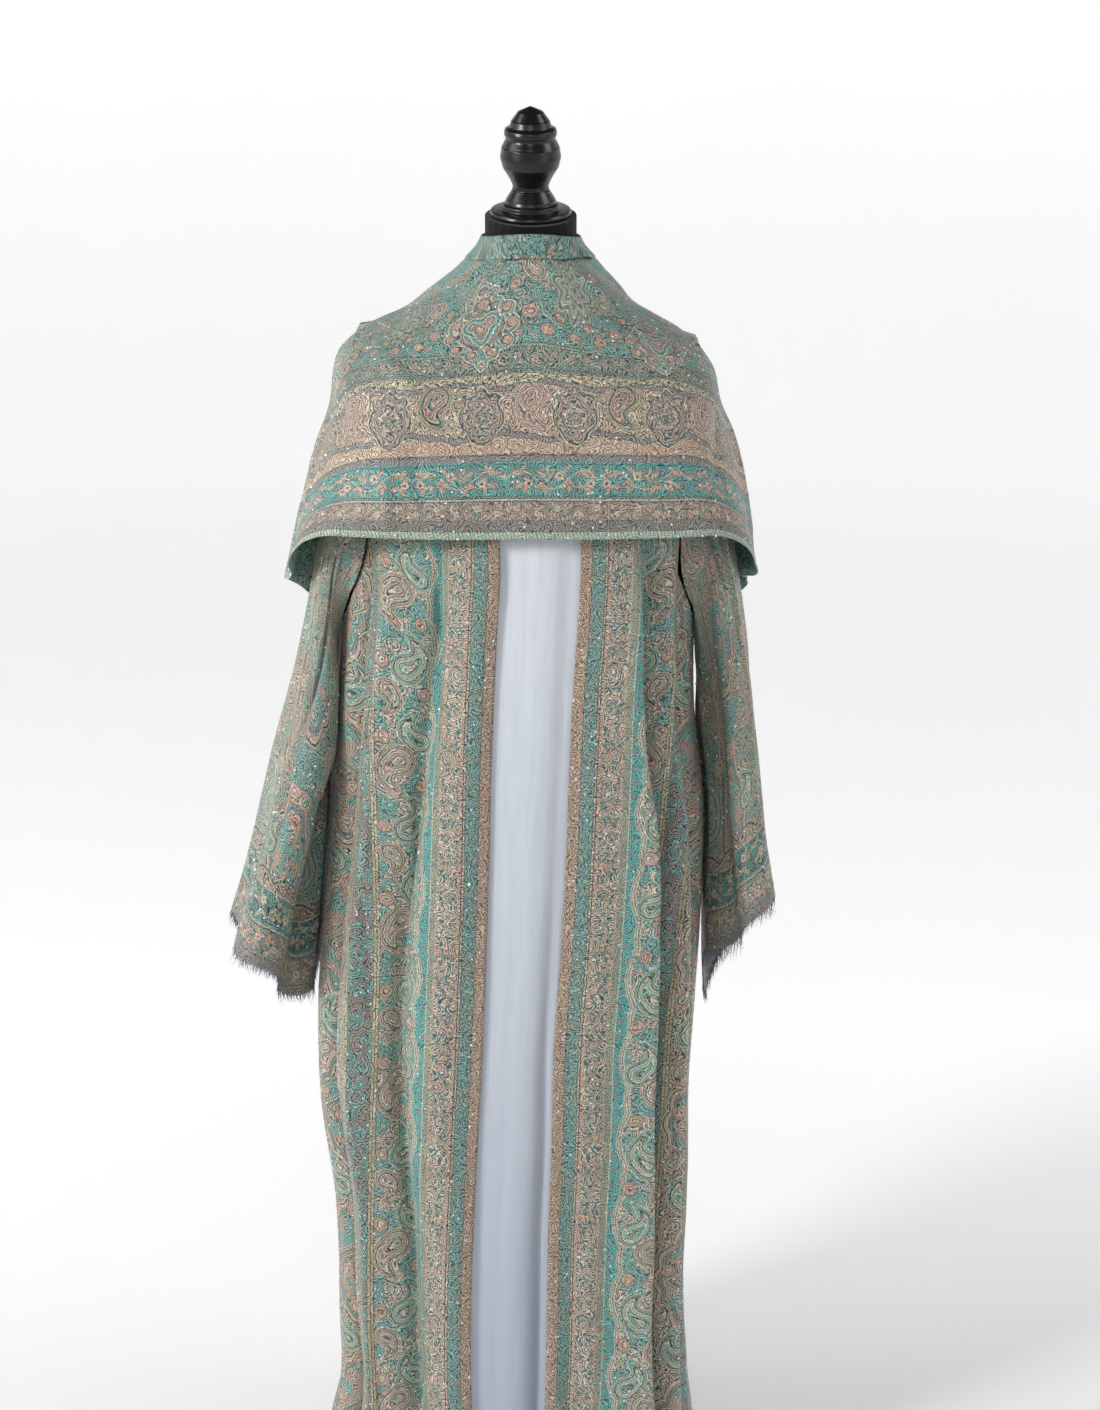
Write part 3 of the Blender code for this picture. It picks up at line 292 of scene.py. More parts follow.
UNDERARM_SIDE = (75, 25)  # degrees from the underarm, where the sleeve's wall turns to the body


def armhole_curve(around, side):
    """The armhole's edge on the body's outer face, a little way off it.

    around is 0 at the shoulder tip, 90 at the front, 180 at the underarm and 270 at the back.
    At the underarm the sleeve's wall faces the body, so the edge stands off by that wall too.
    """
    turn = np.radians(around)
    down = SHOULDER_TIP + (UNDERARM - SHOULDER_TIP) * (1 - np.cos(turn)) / 2
    angle = side * (90 - ARMHOLE_ANGLE * np.sin(turn))
    under = ramp(np.abs(turned(around, 180)), *UNDERARM_SIDE)[..., None]
    return off_surface(body_point, angle, down, CLOTH * (1 + under) + ARMHOLE_GAP)


def sleeve_point(around, along, side):
    """A point of a sleeve's inner face: an ellipse between the outer and inner lines.

    Near the armhole it runs over into the armhole's own edge.
    """
    rows, drop, folds = (LEFT_SLEEVE_ROWS, LEFT_CUFF_DROP, LEFT_SLEEVE_FOLDS)
    if side > 0:
        rows, drop, folds = (RIGHT_SLEEVE_ROWS, RIGHT_CUFF_DROP, RIGHT_SLEEVE_FOLDS)
    around, along = np.broadcast_arrays(np.asarray(around, float), np.asarray(along, float))
    at = columns_at(rows, SLEEVE_COLUMNS, along)
    cosine, sine = np.cos(np.radians(around)), np.sin(np.radians(around))
    outer = np.stack([at["outer_x"], np.zeros(along.shape), at["outer_z"]], -1)
    inner = np.stack([at["inner_x"], at["inner_y"], at["inner_z"]], -1)
    depth = np.where(sine > 0, at["front"], at["back"])
    tube = (outer + inner) / 2 + (outer - inner) / 2 * cosine[..., None]
    tube[..., 1] -= depth * sine
    # folds push level and outward, as on a flat ellipse of the same reach
    half = np.abs(at["outer_x"] - at["inner_x"]) / 2
    level = unit(np.stack([side * cosine * depth, -sine * half], -1))
    push = folds_at(around, along, folds, SLEEVE_STATIONS, SLEEVE_FOLDS_START)
    tube[..., :2] += level * push[..., None]
    centre, fall, width = drop
    hang = fall * hump(turned(around, centre), width, width)
    tube[..., 2] -= hang * ramp(along, CUFF_DROP_FROM, CUFF_DROP_TO)
    blend = ramp(along, 0, SLEEVE_ROOT)[..., None]
    return armhole_curve(around, side) * (1 - blend) + tube * blend


# %% [markdown]
# The wrap is one rectangle of the same cloth. It lies round the neck with its top edge turned
# down, runs out over both shoulders, and its two ends overlap down the back.

# %% The wrap's sections, its turned top and its overlap
WRAP_SQUARENESS = 0.08
WRAP_SQUARES = (0.05, 0.25)  # down, from a round section to that squareness
WRAP_COLUMNS = "down z_front z_left z_right z_back left right front back".split()
WRAP_ROWS = np.array([  # in millimetres
    (0, 1615.5, 1607, 1606, 1603, 56, 56, 62.5, 62.5),  # turn
    (12, 1606, 1597, 1597, 1592, 61, 60.5, 66.5, 67.5),
    (34, 1587, 1578, 1579, 1573, 78, 76.5, 77, 81),
    (75, 1553, 1552, 1550, 1542, 109, 103, 98, 96),
    (120, 1513, 1523.5, 1524.5, 1502, 148, 129, 118, 108),
    (165, 1472, 1500.5, 1494.5, 1455, 195, 181.5, 135, 122),
    (205, 1435, 1474, 1460, 1412, 224, 211, 146, 134),
    (265, 1380, 1408, 1405, 1345, 236, 226, 156, 145),
    (325, 1330, 1335, 1335, 1255, 258, 244, 163, 156),
    (380, 1284, 1190, 1195, 1095, 293, 270, 169, 170),  # hem
]) / 1000
TURN_DEPTH = 0.03  # how far the top is turned down
TURN_STAND_OFF = 0.0024  # how far the turned layer stands off the layer under it
TURN_HALF, TURN_RISE = 0.0015, 0.0013  # half the length of the turn's bend, and how far it rises
WRAP_START, WRAP_END = -198, 176  # degrees; the two ends overlap down the back
WRAP_OVERLAP_STEP = 0.005  # how far the outer end stands off the inner one
WRAP_OVERLAP_SIDE = (152, 176)  # degrees on the -X side, over which it steps out
WRAP_NECK_STEP = 0.004  # and how much further where the top is turned down
WRAP_NECK_ENDS = (0.034, 0.09)  # down, where that extra step dies away
WRAP_BODY_GAP, WRAP_SLEEVE_GAP = 0.0007, 0.0022  # between the wrap and what it rests on
WRAP_RESTS_FROM = 0.05  # down
WRAP_REACH = 0.02  # how near a point of the wrap has to be to what it rests on to be moved off it
WRAP_GAPE = (52, 0.006, 26)  # where the turned layer gapes: angle, extra stand off, half width
WRAP_GAPE_BELOW = (0.006, 0.03)  # from the turn, where the gape begins and where it is full
WRAP_HEM_DOWNS = (0.2, 0.38)  # down, from the section's own height to the hem's
WRAP_HEM_SIDE, WRAP_HEM_BACK = (38, 98), (92, 150)  # degrees from the front
WRAP_FOLDS_START = (0.12, 0.2)  # down, where the folds begin and where they are full
WRAP_STATIONS = (0.12, 0.25, 0.38)
WRAP_FOLDS = [
    (-97, -100, -103, 0, 6, 14, 12, 14),
    (-76, -78, -80, 0, 1, -6, 10, 12),
    (78, 79, 80, 0, 1, 3, 10, 10),
    (97, 98, 98, 0, -3, -14, 10, 8),
    (112, 113, 114, 0, 3, 10, 8, 10),
    (24, 23, 22, 0, -1, -2, 8, 8),
    (-12, -14, -15, 0, 1, 2, 12, 12),
    (134, 134, 135, 0, -3, -11, 12, 12),
    (154, 154, 153, 0, 4, 9, 11, 10),
    (-126, -126, -126, 0, -4, -12, 12, 12),
    (-148, -148, -148, 0, 4, 10, 11, 11),
]


def wrap_layer(angle, down):
    """A point of the wrap's under layer, in the middle of its cloth."""
    angle, down = np.broadcast_arrays(np.asarray(angle, float), np.asarray(down, float))
    at = columns_at(WRAP_ROWS, WRAP_COLUMNS, down)
    x, y, z, outward = section(angle, at, WRAP_SQUARENESS * ramp(down, *WRAP_SQUARES))
    reach_round = np.abs(turned(angle, 0))
    side_height = np.where(np.sin(np.radians(angle)) > 0, at["z_right"], at["z_left"])
    late = at["z_front"] + (side_height - at["z_front"]) * ramp(reach_round, *WRAP_HEM_SIDE)
    late = late + (at["z_back"] - side_height) * ramp(reach_round, *WRAP_HEM_BACK)
    z = z + (late - z) * ramp(down, *WRAP_HEM_DOWNS)
    step = WRAP_OVERLAP_STEP + WRAP_NECK_STEP * (1 - ramp(down, *WRAP_NECK_ENDS))
    push = step * ramp(-angle, *WRAP_OVERLAP_SIDE)
    push = push + folds_at(angle, down, WRAP_FOLDS, WRAP_STATIONS, WRAP_FOLDS_START)
    return np.stack([x + outward[..., 0] * push, y + outward[..., 1] * push, z], -1)


def wrap_point(angle, down):
    """A point of the whole wrap. Above the turn, down is negative and runs back over the under layer."""
    angle, down = np.broadcast_arrays(np.asarray(angle, float), np.asarray(down, float))
    gape_at, gape, gape_width = WRAP_GAPE
    stand = TURN_STAND_OFF * (1 - ramp(down, -TURN_HALF, TURN_HALF))
    gaping = hump(turned(angle, gape_at), gape_width, gape_width) * ramp(-down, *WRAP_GAPE_BELOW)
    stand = stand + gape * gaping
    place = off_surface(wrap_layer, angle, np.abs(down), stand[..., None])
    place[..., 2] += TURN_RISE * hump(down, TURN_HALF, TURN_HALF)
    return place


# %% [markdown]
# Every piece of cloth goes through the same steps: a fine grid of points, the way out at each
# point, the distances along the cloth that the pattern is laid out in, soft creases, and then a
# mesh. Distances are measured on the hanging cloth itself, so the weave isn't stretched in a fold.

# %% From a grid of points to a cloth
WEAVE = 0.0009  # thickness of the jacquard
CREPE = 0.0007  # thickness of the plain panel


def ways_out(grid, facing=1):
    """The outward normal at each grid point: the way down crossed with the way across."""
    across, along = np.gradient(grid, axis=1), np.gradient(grid, axis=0)
    return unit(np.cross(along, across) * facing)


def run_across(grid):
    """Distance along each row from its first point: the sum of the steps between points."""
    steps = np.linalg.norm(np.diff(grid, axis=1), axis=-1)
    return np.concatenate([np.zeros((len(grid), 1)), np.cumsum(steps, 1)], 1)


def run_down(grid):
    """Distance down each column from its first point."""
    steps = np.linalg.norm(np.diff(grid, axis=0), axis=-1)
    return np.concatenate([np.zeros((1, grid.shape[1])), np.cumsum(steps, 0)], 0)


def creases_at(s, t, rows):
    """Soft creases: each runs from one place to another, deepest in its middle.

    A row is s and t of both ends, half width, height (below 0 for a trough) and bow, all in
    millimetres. Across the line the height falls as a bell curve, and along it as a sine.
    """
    total = np.zeros(np.broadcast(s, t).shape)
    for s0, t0, s1, t1, half, height, bow in np.array(rows) / 1000:
        ds, dt = s1 - s0, t1 - t0
        length = math.hypot(ds, dt)
        along = ((s - s0) * ds + (t - t0) * dt) / length**2
        aside = ((t - t0) * ds - (s - s0) * dt) / length
        arch = np.sin(math.pi * np.clip(along, 0, 1))
        total = total + height * arch**0.7 * np.exp(-(((aside - bow * arch) / half) ** 2))
    return total


def ripple(s, t, wide, tall, seed):
    """Smooth uneven values from -1 to 1: random numbers on a coarse net, eased between its knots."""
    net = np.random.default_rng(seed).uniform(-1, 1, (96, 96))
    x, y = np.asarray(s) / wide + 17.3, np.asarray(t) / tall + 11.7
    i, j = np.floor(x).astype(int), np.floor(y).astype(int)
    fx, fy = x - i, y - j
    fx, fy = fx * fx * (3 - 2 * fx), fy * fy * (3 - 2 * fy)
    knots = [[net[(i + a) % 96, (j + b) % 96] for b in (0, 1)] for a in (0, 1)]
    return (knots[0][0] * (1 - fx) + knots[1][0] * fx) * (1 - fy) + (
        knots[0][1] * (1 - fx) + knots[1][1] * fx
    ) * fy


def laid_in(s, t, creases, depth, ripples, seed=0):
    """Listed creases times depth, and faint ripples: a row is height, width, length and seed."""
    height = creases_at(s, t, creases) * depth
    for high, wide, tall, number in ripples:
        height = height + high * ripple(s, t, wide, tall, seed + number)
    return height


def kept_off(points, skin, gap, reach, passes=2):
    """The points, each moved out along the nearest skin point's normal until it stands off by gap.

    The nearest points are found a block at a time from all the squared distances at once.
    """
    places, normals = skin
    rough = places.astype(np.float32)
    moved = np.array(points, float).reshape(-1, 3)
    gap = np.broadcast_to(gap, np.shape(points)[:-1]).reshape(-1)
    squares = (rough**2).sum(1)
    for _ in range(passes):
        for first in range(0, len(moved), 800):
            block = moved[first : first + 800]
            near = np.argmin(squares[None, :] - 2 * block.astype(np.float32) @ rough.T, axis=1)
            offset = block - places[near]
            height = (offset * normals[near]).sum(1)
            close = (offset**2).sum(1) < reach**2
            short = np.where(close, np.maximum(gap[first : first + 800] - height, 0), 0)
            moved[first : first + 800] = block + normals[near] * short[:, None]
    return moved.reshape(np.shape(points))


def skin_of(*grids):
    """The points and outward normals of some grids together, as other cloth lies against them."""
    return (
        np.concatenate([grid.reshape(-1, 3) for grid, _ in grids]),
        np.concatenate([out.reshape(-1, 3) for _, out in grids]),
    )


def new_piece(name, points, faces, smooth=True):
    """An object in the scene, made from points and faces."""
    mesh = bpy.data.meshes.new(name)
    mesh.from_pydata(np.reshape(points, (-1, 3)).tolist(), [], faces)
    if smooth:
        mesh.shade_smooth()
    piece = bpy.data.objects.new(name, mesh)
    bpy.context.scene.collection.objects.link(piece)
    return piece


def joined_rings(tubes, rings, around):
    """The faces of tubes whose points are counted ring after ring: their walls and both ends."""
    index = np.arange(tubes * rings * around).reshape(tubes, rings, around)
    beside = np.roll(index, -1, axis=2)
    walls = np.stack([index[:, :-1], beside[:, :-1], beside[:, 1:], index[:, 1:]], -1).reshape(-1, 4)
    return walls.tolist() + index[:, 0, ::-1].tolist() + index[:, -1].tolist()


def corners_of(values, facing):
    """The values at each face's four corners, in the order in which the faces name their points."""
    four = np.stack([values[:-1, :-1], values[1:, :-1], values[1:, 1:], values[:-1, 1:]], 2)
    return four if facing > 0 else four[:, :, ::-1]


def make_cloth(name, grid, chart, marks, facing=1, ring=False, wall=WEAVE, offset=1):
    """A thin shell on the grid, with the chart as its UV map and each mark as a number on it."""
    rows, columns = grid.shape[:2]
    index = np.arange(rows * columns).reshape(rows, columns)
    if ring:
        index = np.concatenate([index, index[:, :1]], 1)
    faces = corners_of(index, facing).reshape(-1, 4)
    piece = new_piece(name, grid, faces.tolist())
    layer = piece.data.uv_layers.new(name="cloth")
    uv = corners_of(np.stack(np.broadcast_arrays(*chart), -1), facing)
    layer.data.foreach_set("uv", uv.astype(np.float32).ravel())
    for mark, values in marks.items():
        numbers = piece.data.attributes.new(mark, "FLOAT", "CORNER")
        numbers.data.foreach_set("value", corners_of(values, facing).astype(np.float32).ravel())
    shell = piece.modifiers.new("wall", "SOLIDIFY")
    shell.thickness = wall
    shell.offset = offset
    shell.thickness_clamp = 0
    shell.material_offset = 1
    print(f"{name}: {len(faces)} faces, {np.ptp(chart[0]):.2f} by {np.ptp(chart[1]):.2f} m")
    return piece


def area_of(grid, ring=False):
    """The cloth's area in square metres: half the crossed diagonals of every face, summed."""
    closed = np.concatenate([grid, grid[:, :1]], 1) if ring else grid
    one = closed[1:, 1:] - closed[:-1, :-1]
    two = closed[1:, :-1] - closed[:-1, 1:]
    return float(np.linalg.norm(np.cross(one, two), axis=-1).sum() / 2)


# %% [markdown]
# Old shawl patterns are built from a few motifs: the boteh, a drop whose tip curls over,
# rosettes, lobed frames and scalloped borders, all with outlines inside outlines. Each motif here
# is a distance: how far a place on the cloth lies from its edge, below 0 inside. Distances are
# smooth, so a fine grid can carry them, and the dye recipe draws as many outlines as it likes.

# %% Distances to the woven motifs
BOTEH_SPINE = np.linspace(0, 1, 11)


def boteh(s, t, cs, ct, size, turn=0, curl=1):
    """A drop: discs that shrink along a spine from the round head to the curled tip, joined."""
    angle = math.radians(turn)
    x = ((s - cs) * math.cos(angle) + (t - ct) * math.sin(angle)) * curl / size
    y = (-(s - cs) * math.sin(angle) + (t - ct) * math.cos(angle)) / size
    lowest = np.full(np.broadcast(x, y).shape, 9.0)
    for at in BOTEH_SPINE:
        spine_x = 0.22 * math.sin(math.pi * at) - 0.42 * at**3
        spine_y = 0.98 * at - 0.12 * at**3 - 0.32
        lowest = np.minimum(lowest, np.hypot(x - spine_x, y - spine_y) - 0.31 * (1 - at) ** 0.8 - 0.015)
    return lowest * size


def rosette(s, t, cs, ct, radius, petals=8, depth=0.18):
    """A flower: the distance to its middle less a radius that waves once for each petal."""
    angle = np.arctan2(t - ct, s - cs)
    return np.hypot(s - cs, t - ct) - radius * (1 + depth * np.cos(petals * angle))


def lobed(s, t, cs, ct, wide, tall, lobes=10, depth=0.1, point=0.25):
    """A frame: an oval whose edge is scalloped, and drawn out to points above and below."""
    x, y = (s - cs) / wide, (t - ct) / tall
    angle = np.arctan2(y, x)
    edge = 1 - depth + depth * np.abs(np.cos(lobes * angle / 2))
    edge = edge + point * np.clip(np.abs(np.sin(angle)) - 0.8, 0, 1) ** 1.5 / 0.2**1.5
    return (np.hypot(x, y) - edge) * min(wide, tall)


def nearest(distances):
    """The motifs together: the smallest distance, and the number of the motif that gives it."""
    stack = np.stack(np.broadcast_arrays(*distances))
    return stack.min(0), stack.argmin(0)


def scattered(across, up, botehs, rosettes, repeat):
    """Botehs with their tones, and rosettes, each drawn again one repeat below and above."""
    shifts = (-repeat, 0, repeat)
    drops, which = nearest([boteh(across, up, s, t + shift, *shape)
                            for s, t, *shape, _ in botehs for shift in shifts])
    flowers, _ = nearest([rosette(across, up, s, t + shift, radius)
                          for s, t, radius in rosettes for shift in shifts])
    tones = np.repeat([row[-1] for row in botehs], len(shifts))
    return {"drops": drops, "tone": tones[which], "flowers": flowers}


# %% [markdown]
# The chart of the cloth. Across the loom the pattern runs in lanes, mirrored about the middle of
# a wide salmon lane. A front is cut with its free edge on the first lane, so one chart serves
# the fronts and the back: distances are folded at the mirror lines before a motif is looked up.

# %% Lay out the large motifs of the body
LANE_MIRROR = 0.262  # from the free edge to the middle of the salmon lane
REPEAT = 0.218  # down the cloth
BODY_BOTEHS = [
    # s, t, size, turn, curl, tone
    (0.117, 0.02, 0.054, 160, 1, 0.15),
    (0.143, 0.078, 0.036, 15, -1, 0.85),
    (0.112, 0.116, 0.047, 205, -1, 0.45),
    (0.137, 0.172, 0.056, -20, 1, 0.7),
    (0.236, 0.1, 0.05, 150, 1, 0.3),
    (0.222, 0.152, 0.03, 20, -1, 0.95),
    (0.216, 0.046, 0.026, 185, -1, 0.6),
]
BODY_ROSETTES = [(0.101, 0.066, 0.009), (0.152, 0.032, 0.008), (0.152, 0.128, 0.009), (0.104, 0.192, 0.008),
                 (0.248, 0.016, 0.01), (0.262, 0.062, 0.013), (0.222, 0.204, 0.009), (0.262, 0.145, 0.012)]
BORDER_AT, BORDER_SWING, BORDER_SCALLOP = 0.081, 0.012, 0.0035  # outer edge of the turquoise lane


def lane_of(s):
    """The distance across, folded at the middle of the salmon lane."""
    return LANE_MIRROR - np.abs(LANE_MIRROR - np.abs(s))


def body_marks(s, t):
    """The large motifs' distances at each place of a body piece."""
    lane, down = lane_of(s), np.mod(t, REPEAT)
    frames, _ = nearest([lobed(lane, down, LANE_MIRROR, shift, 0.06, 0.074, 12)
                         for shift in (0, REPEAT)])
    tongue = np.minimum(np.abs(down - 0.004), np.abs(down - 0.004 - REPEAT))
    tongue = (LANE_MIRROR - lane) / 0.044 + tongue / 0.03 - 1
    half = 2 * math.pi * t / REPEAT
    border = lane - BORDER_AT - BORDER_SWING * np.abs(np.sin(half)) ** 0.8
    border = border + BORDER_SCALLOP * np.abs(np.sin(3 * half))
    return {**scattered(lane, down, BODY_BOTEHS, BODY_ROSETTES, REPEAT),
            "frames": frames, "tongues": tongue * 0.024, "border": border}


# %% [markdown]
# The fronts and the back. Their grids crowd round the armhole, where the edge curves fast.
# Creases are listed one by one: long soft troughs beside the hanging folds, slanting drags below
# the armholes and short kinks near the hem, none of them quite alike.

# %% The body's grids
HEM = BODY_ROWS[-1][0]
ARMHOLE_ROWS, FRONT_ACROSS, BACK_ACROSS = 72, 80, 112
PANEL_UNDERLAP = 0.034
CREASE_DEPTH = 1.7  # all creases of the body, times this
BODY_RIPPLES = [(0.0012, 0.03, 0.14, 0), (0.0005, 0.011, 0.045, 1)]
SETTLES = (0.14, 0.26)  # down, where the body's creases begin and where they are full
SEAM_REST = 0.012  # the width beside a seam over which the creases die away
BODY_DOWNS = np.concatenate([
    np.linspace(0, SHOULDER_TIP, 26, endpoint=False),
    SHOULDER_TIP + (UNDERARM - SHOULDER_TIP) * (1 - np.cos(np.linspace(0, math.pi, ARMHOLE_ROWS + 1))) / 2,
    np.linspace(UNDERARM, HEM, 220)[1:],
])[:, None]
FRONT_CREASES = {
    # s0, t0, s1, t1, half width, height, bow
    -1: [(85, 300, 80, 620, 6, -2.2, 4), (150, 340, 165, 560, 7, 2.5, 0),
         (205, 460, 150, 640, 7, 2.4, 8), (215, 500, 165, 740, 8, -2.8, 10),
         (120, 620, 128, 860, 5, 1.6, 3), (185, 740, 170, 1020, 7, -2.2, 4),
         (60, 720, 66, 1050, 6, 1.2, 0), (225, 800, 235, 1100, 8, 2.6, 6),
         (130, 980, 118, 1240, 5, -1.6, 3), (240, 1040, 200, 1180, 5, -2, 4),
         (205, 1180, 215, 1420, 7, 2.2, 0), (95, 1200, 100, 1460, 5, 1.4, 2),
         (255, 1220, 262, 1500, 7, -2.2, 4), (160, 1320, 150, 1560, 6, -1.6, 0),
         (175, 880, 140, 930, 3, -1, 2), (235, 1350, 205, 1400, 3, -1.2, 1)],
    1: [(70, 360, 78, 660, 6, 1.6, 2), (190, 420, 150, 600, 7, 2.4, 8),
        (200, 500, 165, 720, 7, -2.6, 8), (120, 560, 112, 840, 6, 1.8, 3),
        (210, 700, 196, 950, 7, -2.2, 5), (85, 860, 92, 1160, 5, -1.4, 2),
        (225, 920, 232, 1200, 7, 2.4, 4), (165, 1000, 160, 1260, 6, 1.6, 0),
        (120, 1140, 128, 1400, 6, 1.6, 3), (200, 1220, 190, 1460, 7, -2.2, 3),
        (240, 1240, 236, 1520, 7, 1.8, 0), (178, 1260, 186, 1320, 3, -2, 1)],
}
BACK_CREASES = [
    (-240, 400, -180, 660, 8, 2.6, 8), (-200, 480, -130, 780, 8, -2.4, 8),
    (-90, 420, -70, 800, 9, 1.8, 4), (-30, 600, -20, 980, 7, -1.6, 0),
    (50, 440, 60, 820, 9, 2, -4), (110, 560, 100, 920, 7, -1.8, 0),
    (230, 420, 170, 680, 8, 2.4, -8), (250, 580, 190, 840, 8, -2.4, -6),
    (-250, 860, -260, 1220, 8, 2.4, 4), (-160, 920, -170, 1300, 7, -1.8, 0),
    (-60, 1020, -50, 1400, 8, 2, 3), (40, 1000, 30, 1340, 6, -1.6, 0),
    (140, 960, 150, 1320, 8, 2.2, 3), (240, 960, 250, 1360, 8, 2, 0),
    (-220, 1300, -210, 1540, 6, -1.8, 0), (90, 1300, 80, 1540, 6, -1.6, 0),
]
VALLEY_CUT, RIDGE_CUT, CUT_WIDTH = 0.62, 0.3, 3.8
# each fold's line again, narrower: a valley is cut sharp, and a ridge a little
NARROW = [
    (top, middle, hem, *[reach * (VALLEY_CUT if reach < 0 else RIDGE_CUT) for reach in reaches],
     CUT_WIDTH, CUT_WIDTH)
    for top, middle, hem, *reaches, _, _ in BODY_FOLDS
]


def settled(s, t, creases, seed):
    """How far the cloth stands out from its smooth form: listed creases and a faint unevenness.

    Nothing moves near the shoulders, which lie on the form.
    """
    return laid_in(s, t, creases, CREASE_DEPTH, BODY_RIPPLES, seed) * ramp(t, *SETTLES)


def front_cloth(side):
    """One front: its points, ways out and chart, its columns in the order of rising angle."""
    across = np.linspace(0, 1, FRONT_ACROSS + 1)[None, :]
    start = edge_angle(BODY_DOWNS, side)
    angle = start + (side * (90 - seam_angle(BODY_DOWNS)) - start) * across
    curl, width = EDGE_CURL
    turn_in = curl * (1 - ramp(np.abs(angle - start), 0, width)) * ramp(BODY_DOWNS, *EDGE_CURL_START)
    narrow = folds_at(angle, BODY_DOWNS, NARROW, FOLD_STATIONS, BODY_FOLDS_START)
    narrow = narrow * ramp(np.abs(angle - start), 6, 12)
    grid = body_point(angle, BODY_DOWNS, narrow - turn_in)
    s = run_across(grid)
    t = np.broadcast_to(BODY_DOWNS, s.shape)
    out = ways_out(grid, side)
    height = settled(s, t, FRONT_CREASES[side], 40 + side)
    # over the inner panel a front only swells out, and at its seams it stays where it is
    height = np.where(s < PANEL_UNDERLAP + SEAM_REST, np.maximum(height, 0) * 0.6, height)
    height = height * ramp(s[:, -1:] - s, 0, SEAM_REST)
    grid = grid + out * height[..., None]
    if side < 0:
        grid, s, t = grid[:, ::-1], s[:, ::-1], t[:, ::-1]
    return grid, ways_out(grid), s, t


def back_cloth():
    """The back: its chart runs both ways from the middle."""
    across = np.linspace(0, 1, BACK_ACROSS + 1)[None, :]
    start, end = 90 + seam_angle(BODY_DOWNS), 270 - seam_angle(BODY_DOWNS)
    angle = start + (end - start) * across
    grid = body_point(angle, BODY_DOWNS, folds_at(angle, BODY_DOWNS, NARROW, FOLD_STATIONS, BODY_FOLDS_START))
    s = run_across(grid)
    s = s - s[:, BACK_ACROSS // 2, None]
    t = np.broadcast_to(BODY_DOWNS, s.shape)
    height = settled(s, t, BACK_CREASES, 60)
    height = height * ramp(np.minimum(s - s[:, :1], s[:, -1:] - s), 0, SEAM_REST)
    grid = grid + ways_out(grid) * height[..., None]
    return grid, ways_out(grid), s, t


body = {"front_left": front_cloth(-1), "front_right": front_cloth(1), "back": back_cloth()}
print("length of the front's free edge:", round(float(run_down(body["front_right"][0])[-1, 0]), 3), "m")

# %% Make the fronts and the back
pieces = {}
for name, (grid, out, s, t) in body.items():
    chart_s = s if name != "back" else LANE_MIRROR - np.abs(s)
    pieces[name] = make_cloth(name + "_cloth", grid, (s, t), body_marks(chart_s, t))


# %% [markdown]
# The sleeves. Cloth that hangs from an armhole drags towards it, so the creases slant up and
# inward. The chart measures up from the cuff, because the borders run along the cuff's slant,
# and round from the outer line.

# %% The sleeves' grids
SLEEVE_ALONG = 132
SLEEVE_CREASE_DEPTH = 1.6
SLEEVE_RIPPLES = [(0.001, 0.034, 0.1, 80), (0.0005, 0.012, 0.036, 90)]
SLEEVE_SETTLES = (0.01, 0.07)  # from the armhole's edge, where its creases begin and where they are full
SLEEVE_CREASES = {
    # u0, v0, u1, v1, half width, height, bow; u runs round from the outer line to the front
    -1: [(175, 600, 120, 300, 9, -5, 10), (150, 570, 175, 500, 8, 5, 10),
         (50, 560, 60, 300, 8, 2.4, 6), (20, 480, 35, 220, 7, -2.2, 4),
         (85, 420, 75, 160, 7, -2.4, 4), (105, 330, 110, 100, 6, 1.8, 3),
         (130, 240, 120, 60, 6, -1.8, 3), (45, 200, 50, 40, 6, 1.6, 0),
         (125, 520, 90, 460, 4, -2, 2), (330, 560, 300, 260, 9, 2.6, 6),
         (360, 440, 350, 160, 8, -2.4, 0), (280, 340, 290, 120, 7, 2, 3)],
    1: [(50, 560, 75, 340, 8, 2.6, 6), (125, 580, 105, 380, 9, -4, 6),
        (85, 460, 90, 220, 7, -2.4, 4), (110, 400, 105, 160, 6, 2.2, 3),
        (40, 340, 45, 100, 7, -1.8, 3), (65, 240, 60, 60, 6, 1.6, 0),
        (150, 500, 135, 400, 5, 2.4, 3), (90, 530, 60, 480, 4, -2, 2),
        (330, 540, 310, 240, 9, 2.4, 6), (360, 420, 350, 140, 8, -2.2, 0)],
}


def sleeve_cloth(side, skin):
    """A sleeve's points, ways out and chart. Its inner side is kept off the body."""
    around = (np.arange(2 * ARMHOLE_ROWS) * 180 / ARMHOLE_ROWS)[None, :]
    along = np.linspace(0, 1, SLEEVE_ALONG + 1)[:, None]
    grid = sleeve_point(around, along, side)
    closed = np.concatenate([grid, grid[:, :1]], 1)
    u = np.broadcast_to(run_across(closed).mean(0)[None, :-1], grid.shape[:2])
    down = run_down(grid)
    v = down[-1:] - down
    ring = np.concatenate([grid[:, -1:], closed], 1)
    out = ways_out(np.concatenate([ring, grid[:, 1:2]], 1), -side)[:, 1:-2]
    height = laid_in(u, v, SLEEVE_CREASES[side], SLEEVE_CREASE_DEPTH, SLEEVE_RIPPLES, side)
    grid = grid + out * (height * ramp(down, *SLEEVE_SETTLES))[..., None]
    inner = np.abs(turned(around[0], 180)) < SLEEVE_INNER_SIDE
    gaps = SLEEVE_GAP_TOP + (SLEEVE_GAP_BELOW - SLEEVE_GAP_TOP) * ramp(along, *SLEEVE_GAP_WIDENS)
    near = grid[3:, inner]
    grid[3:, inner] = kept_off(near, skin, WEAVE + gaps[3:], SLEEVE_REACH)
    ring = np.concatenate([grid[:, -1:], grid, grid[:, :2]], 1)
    return grid, ways_out(ring, -side)[:, 1:-2], u, v


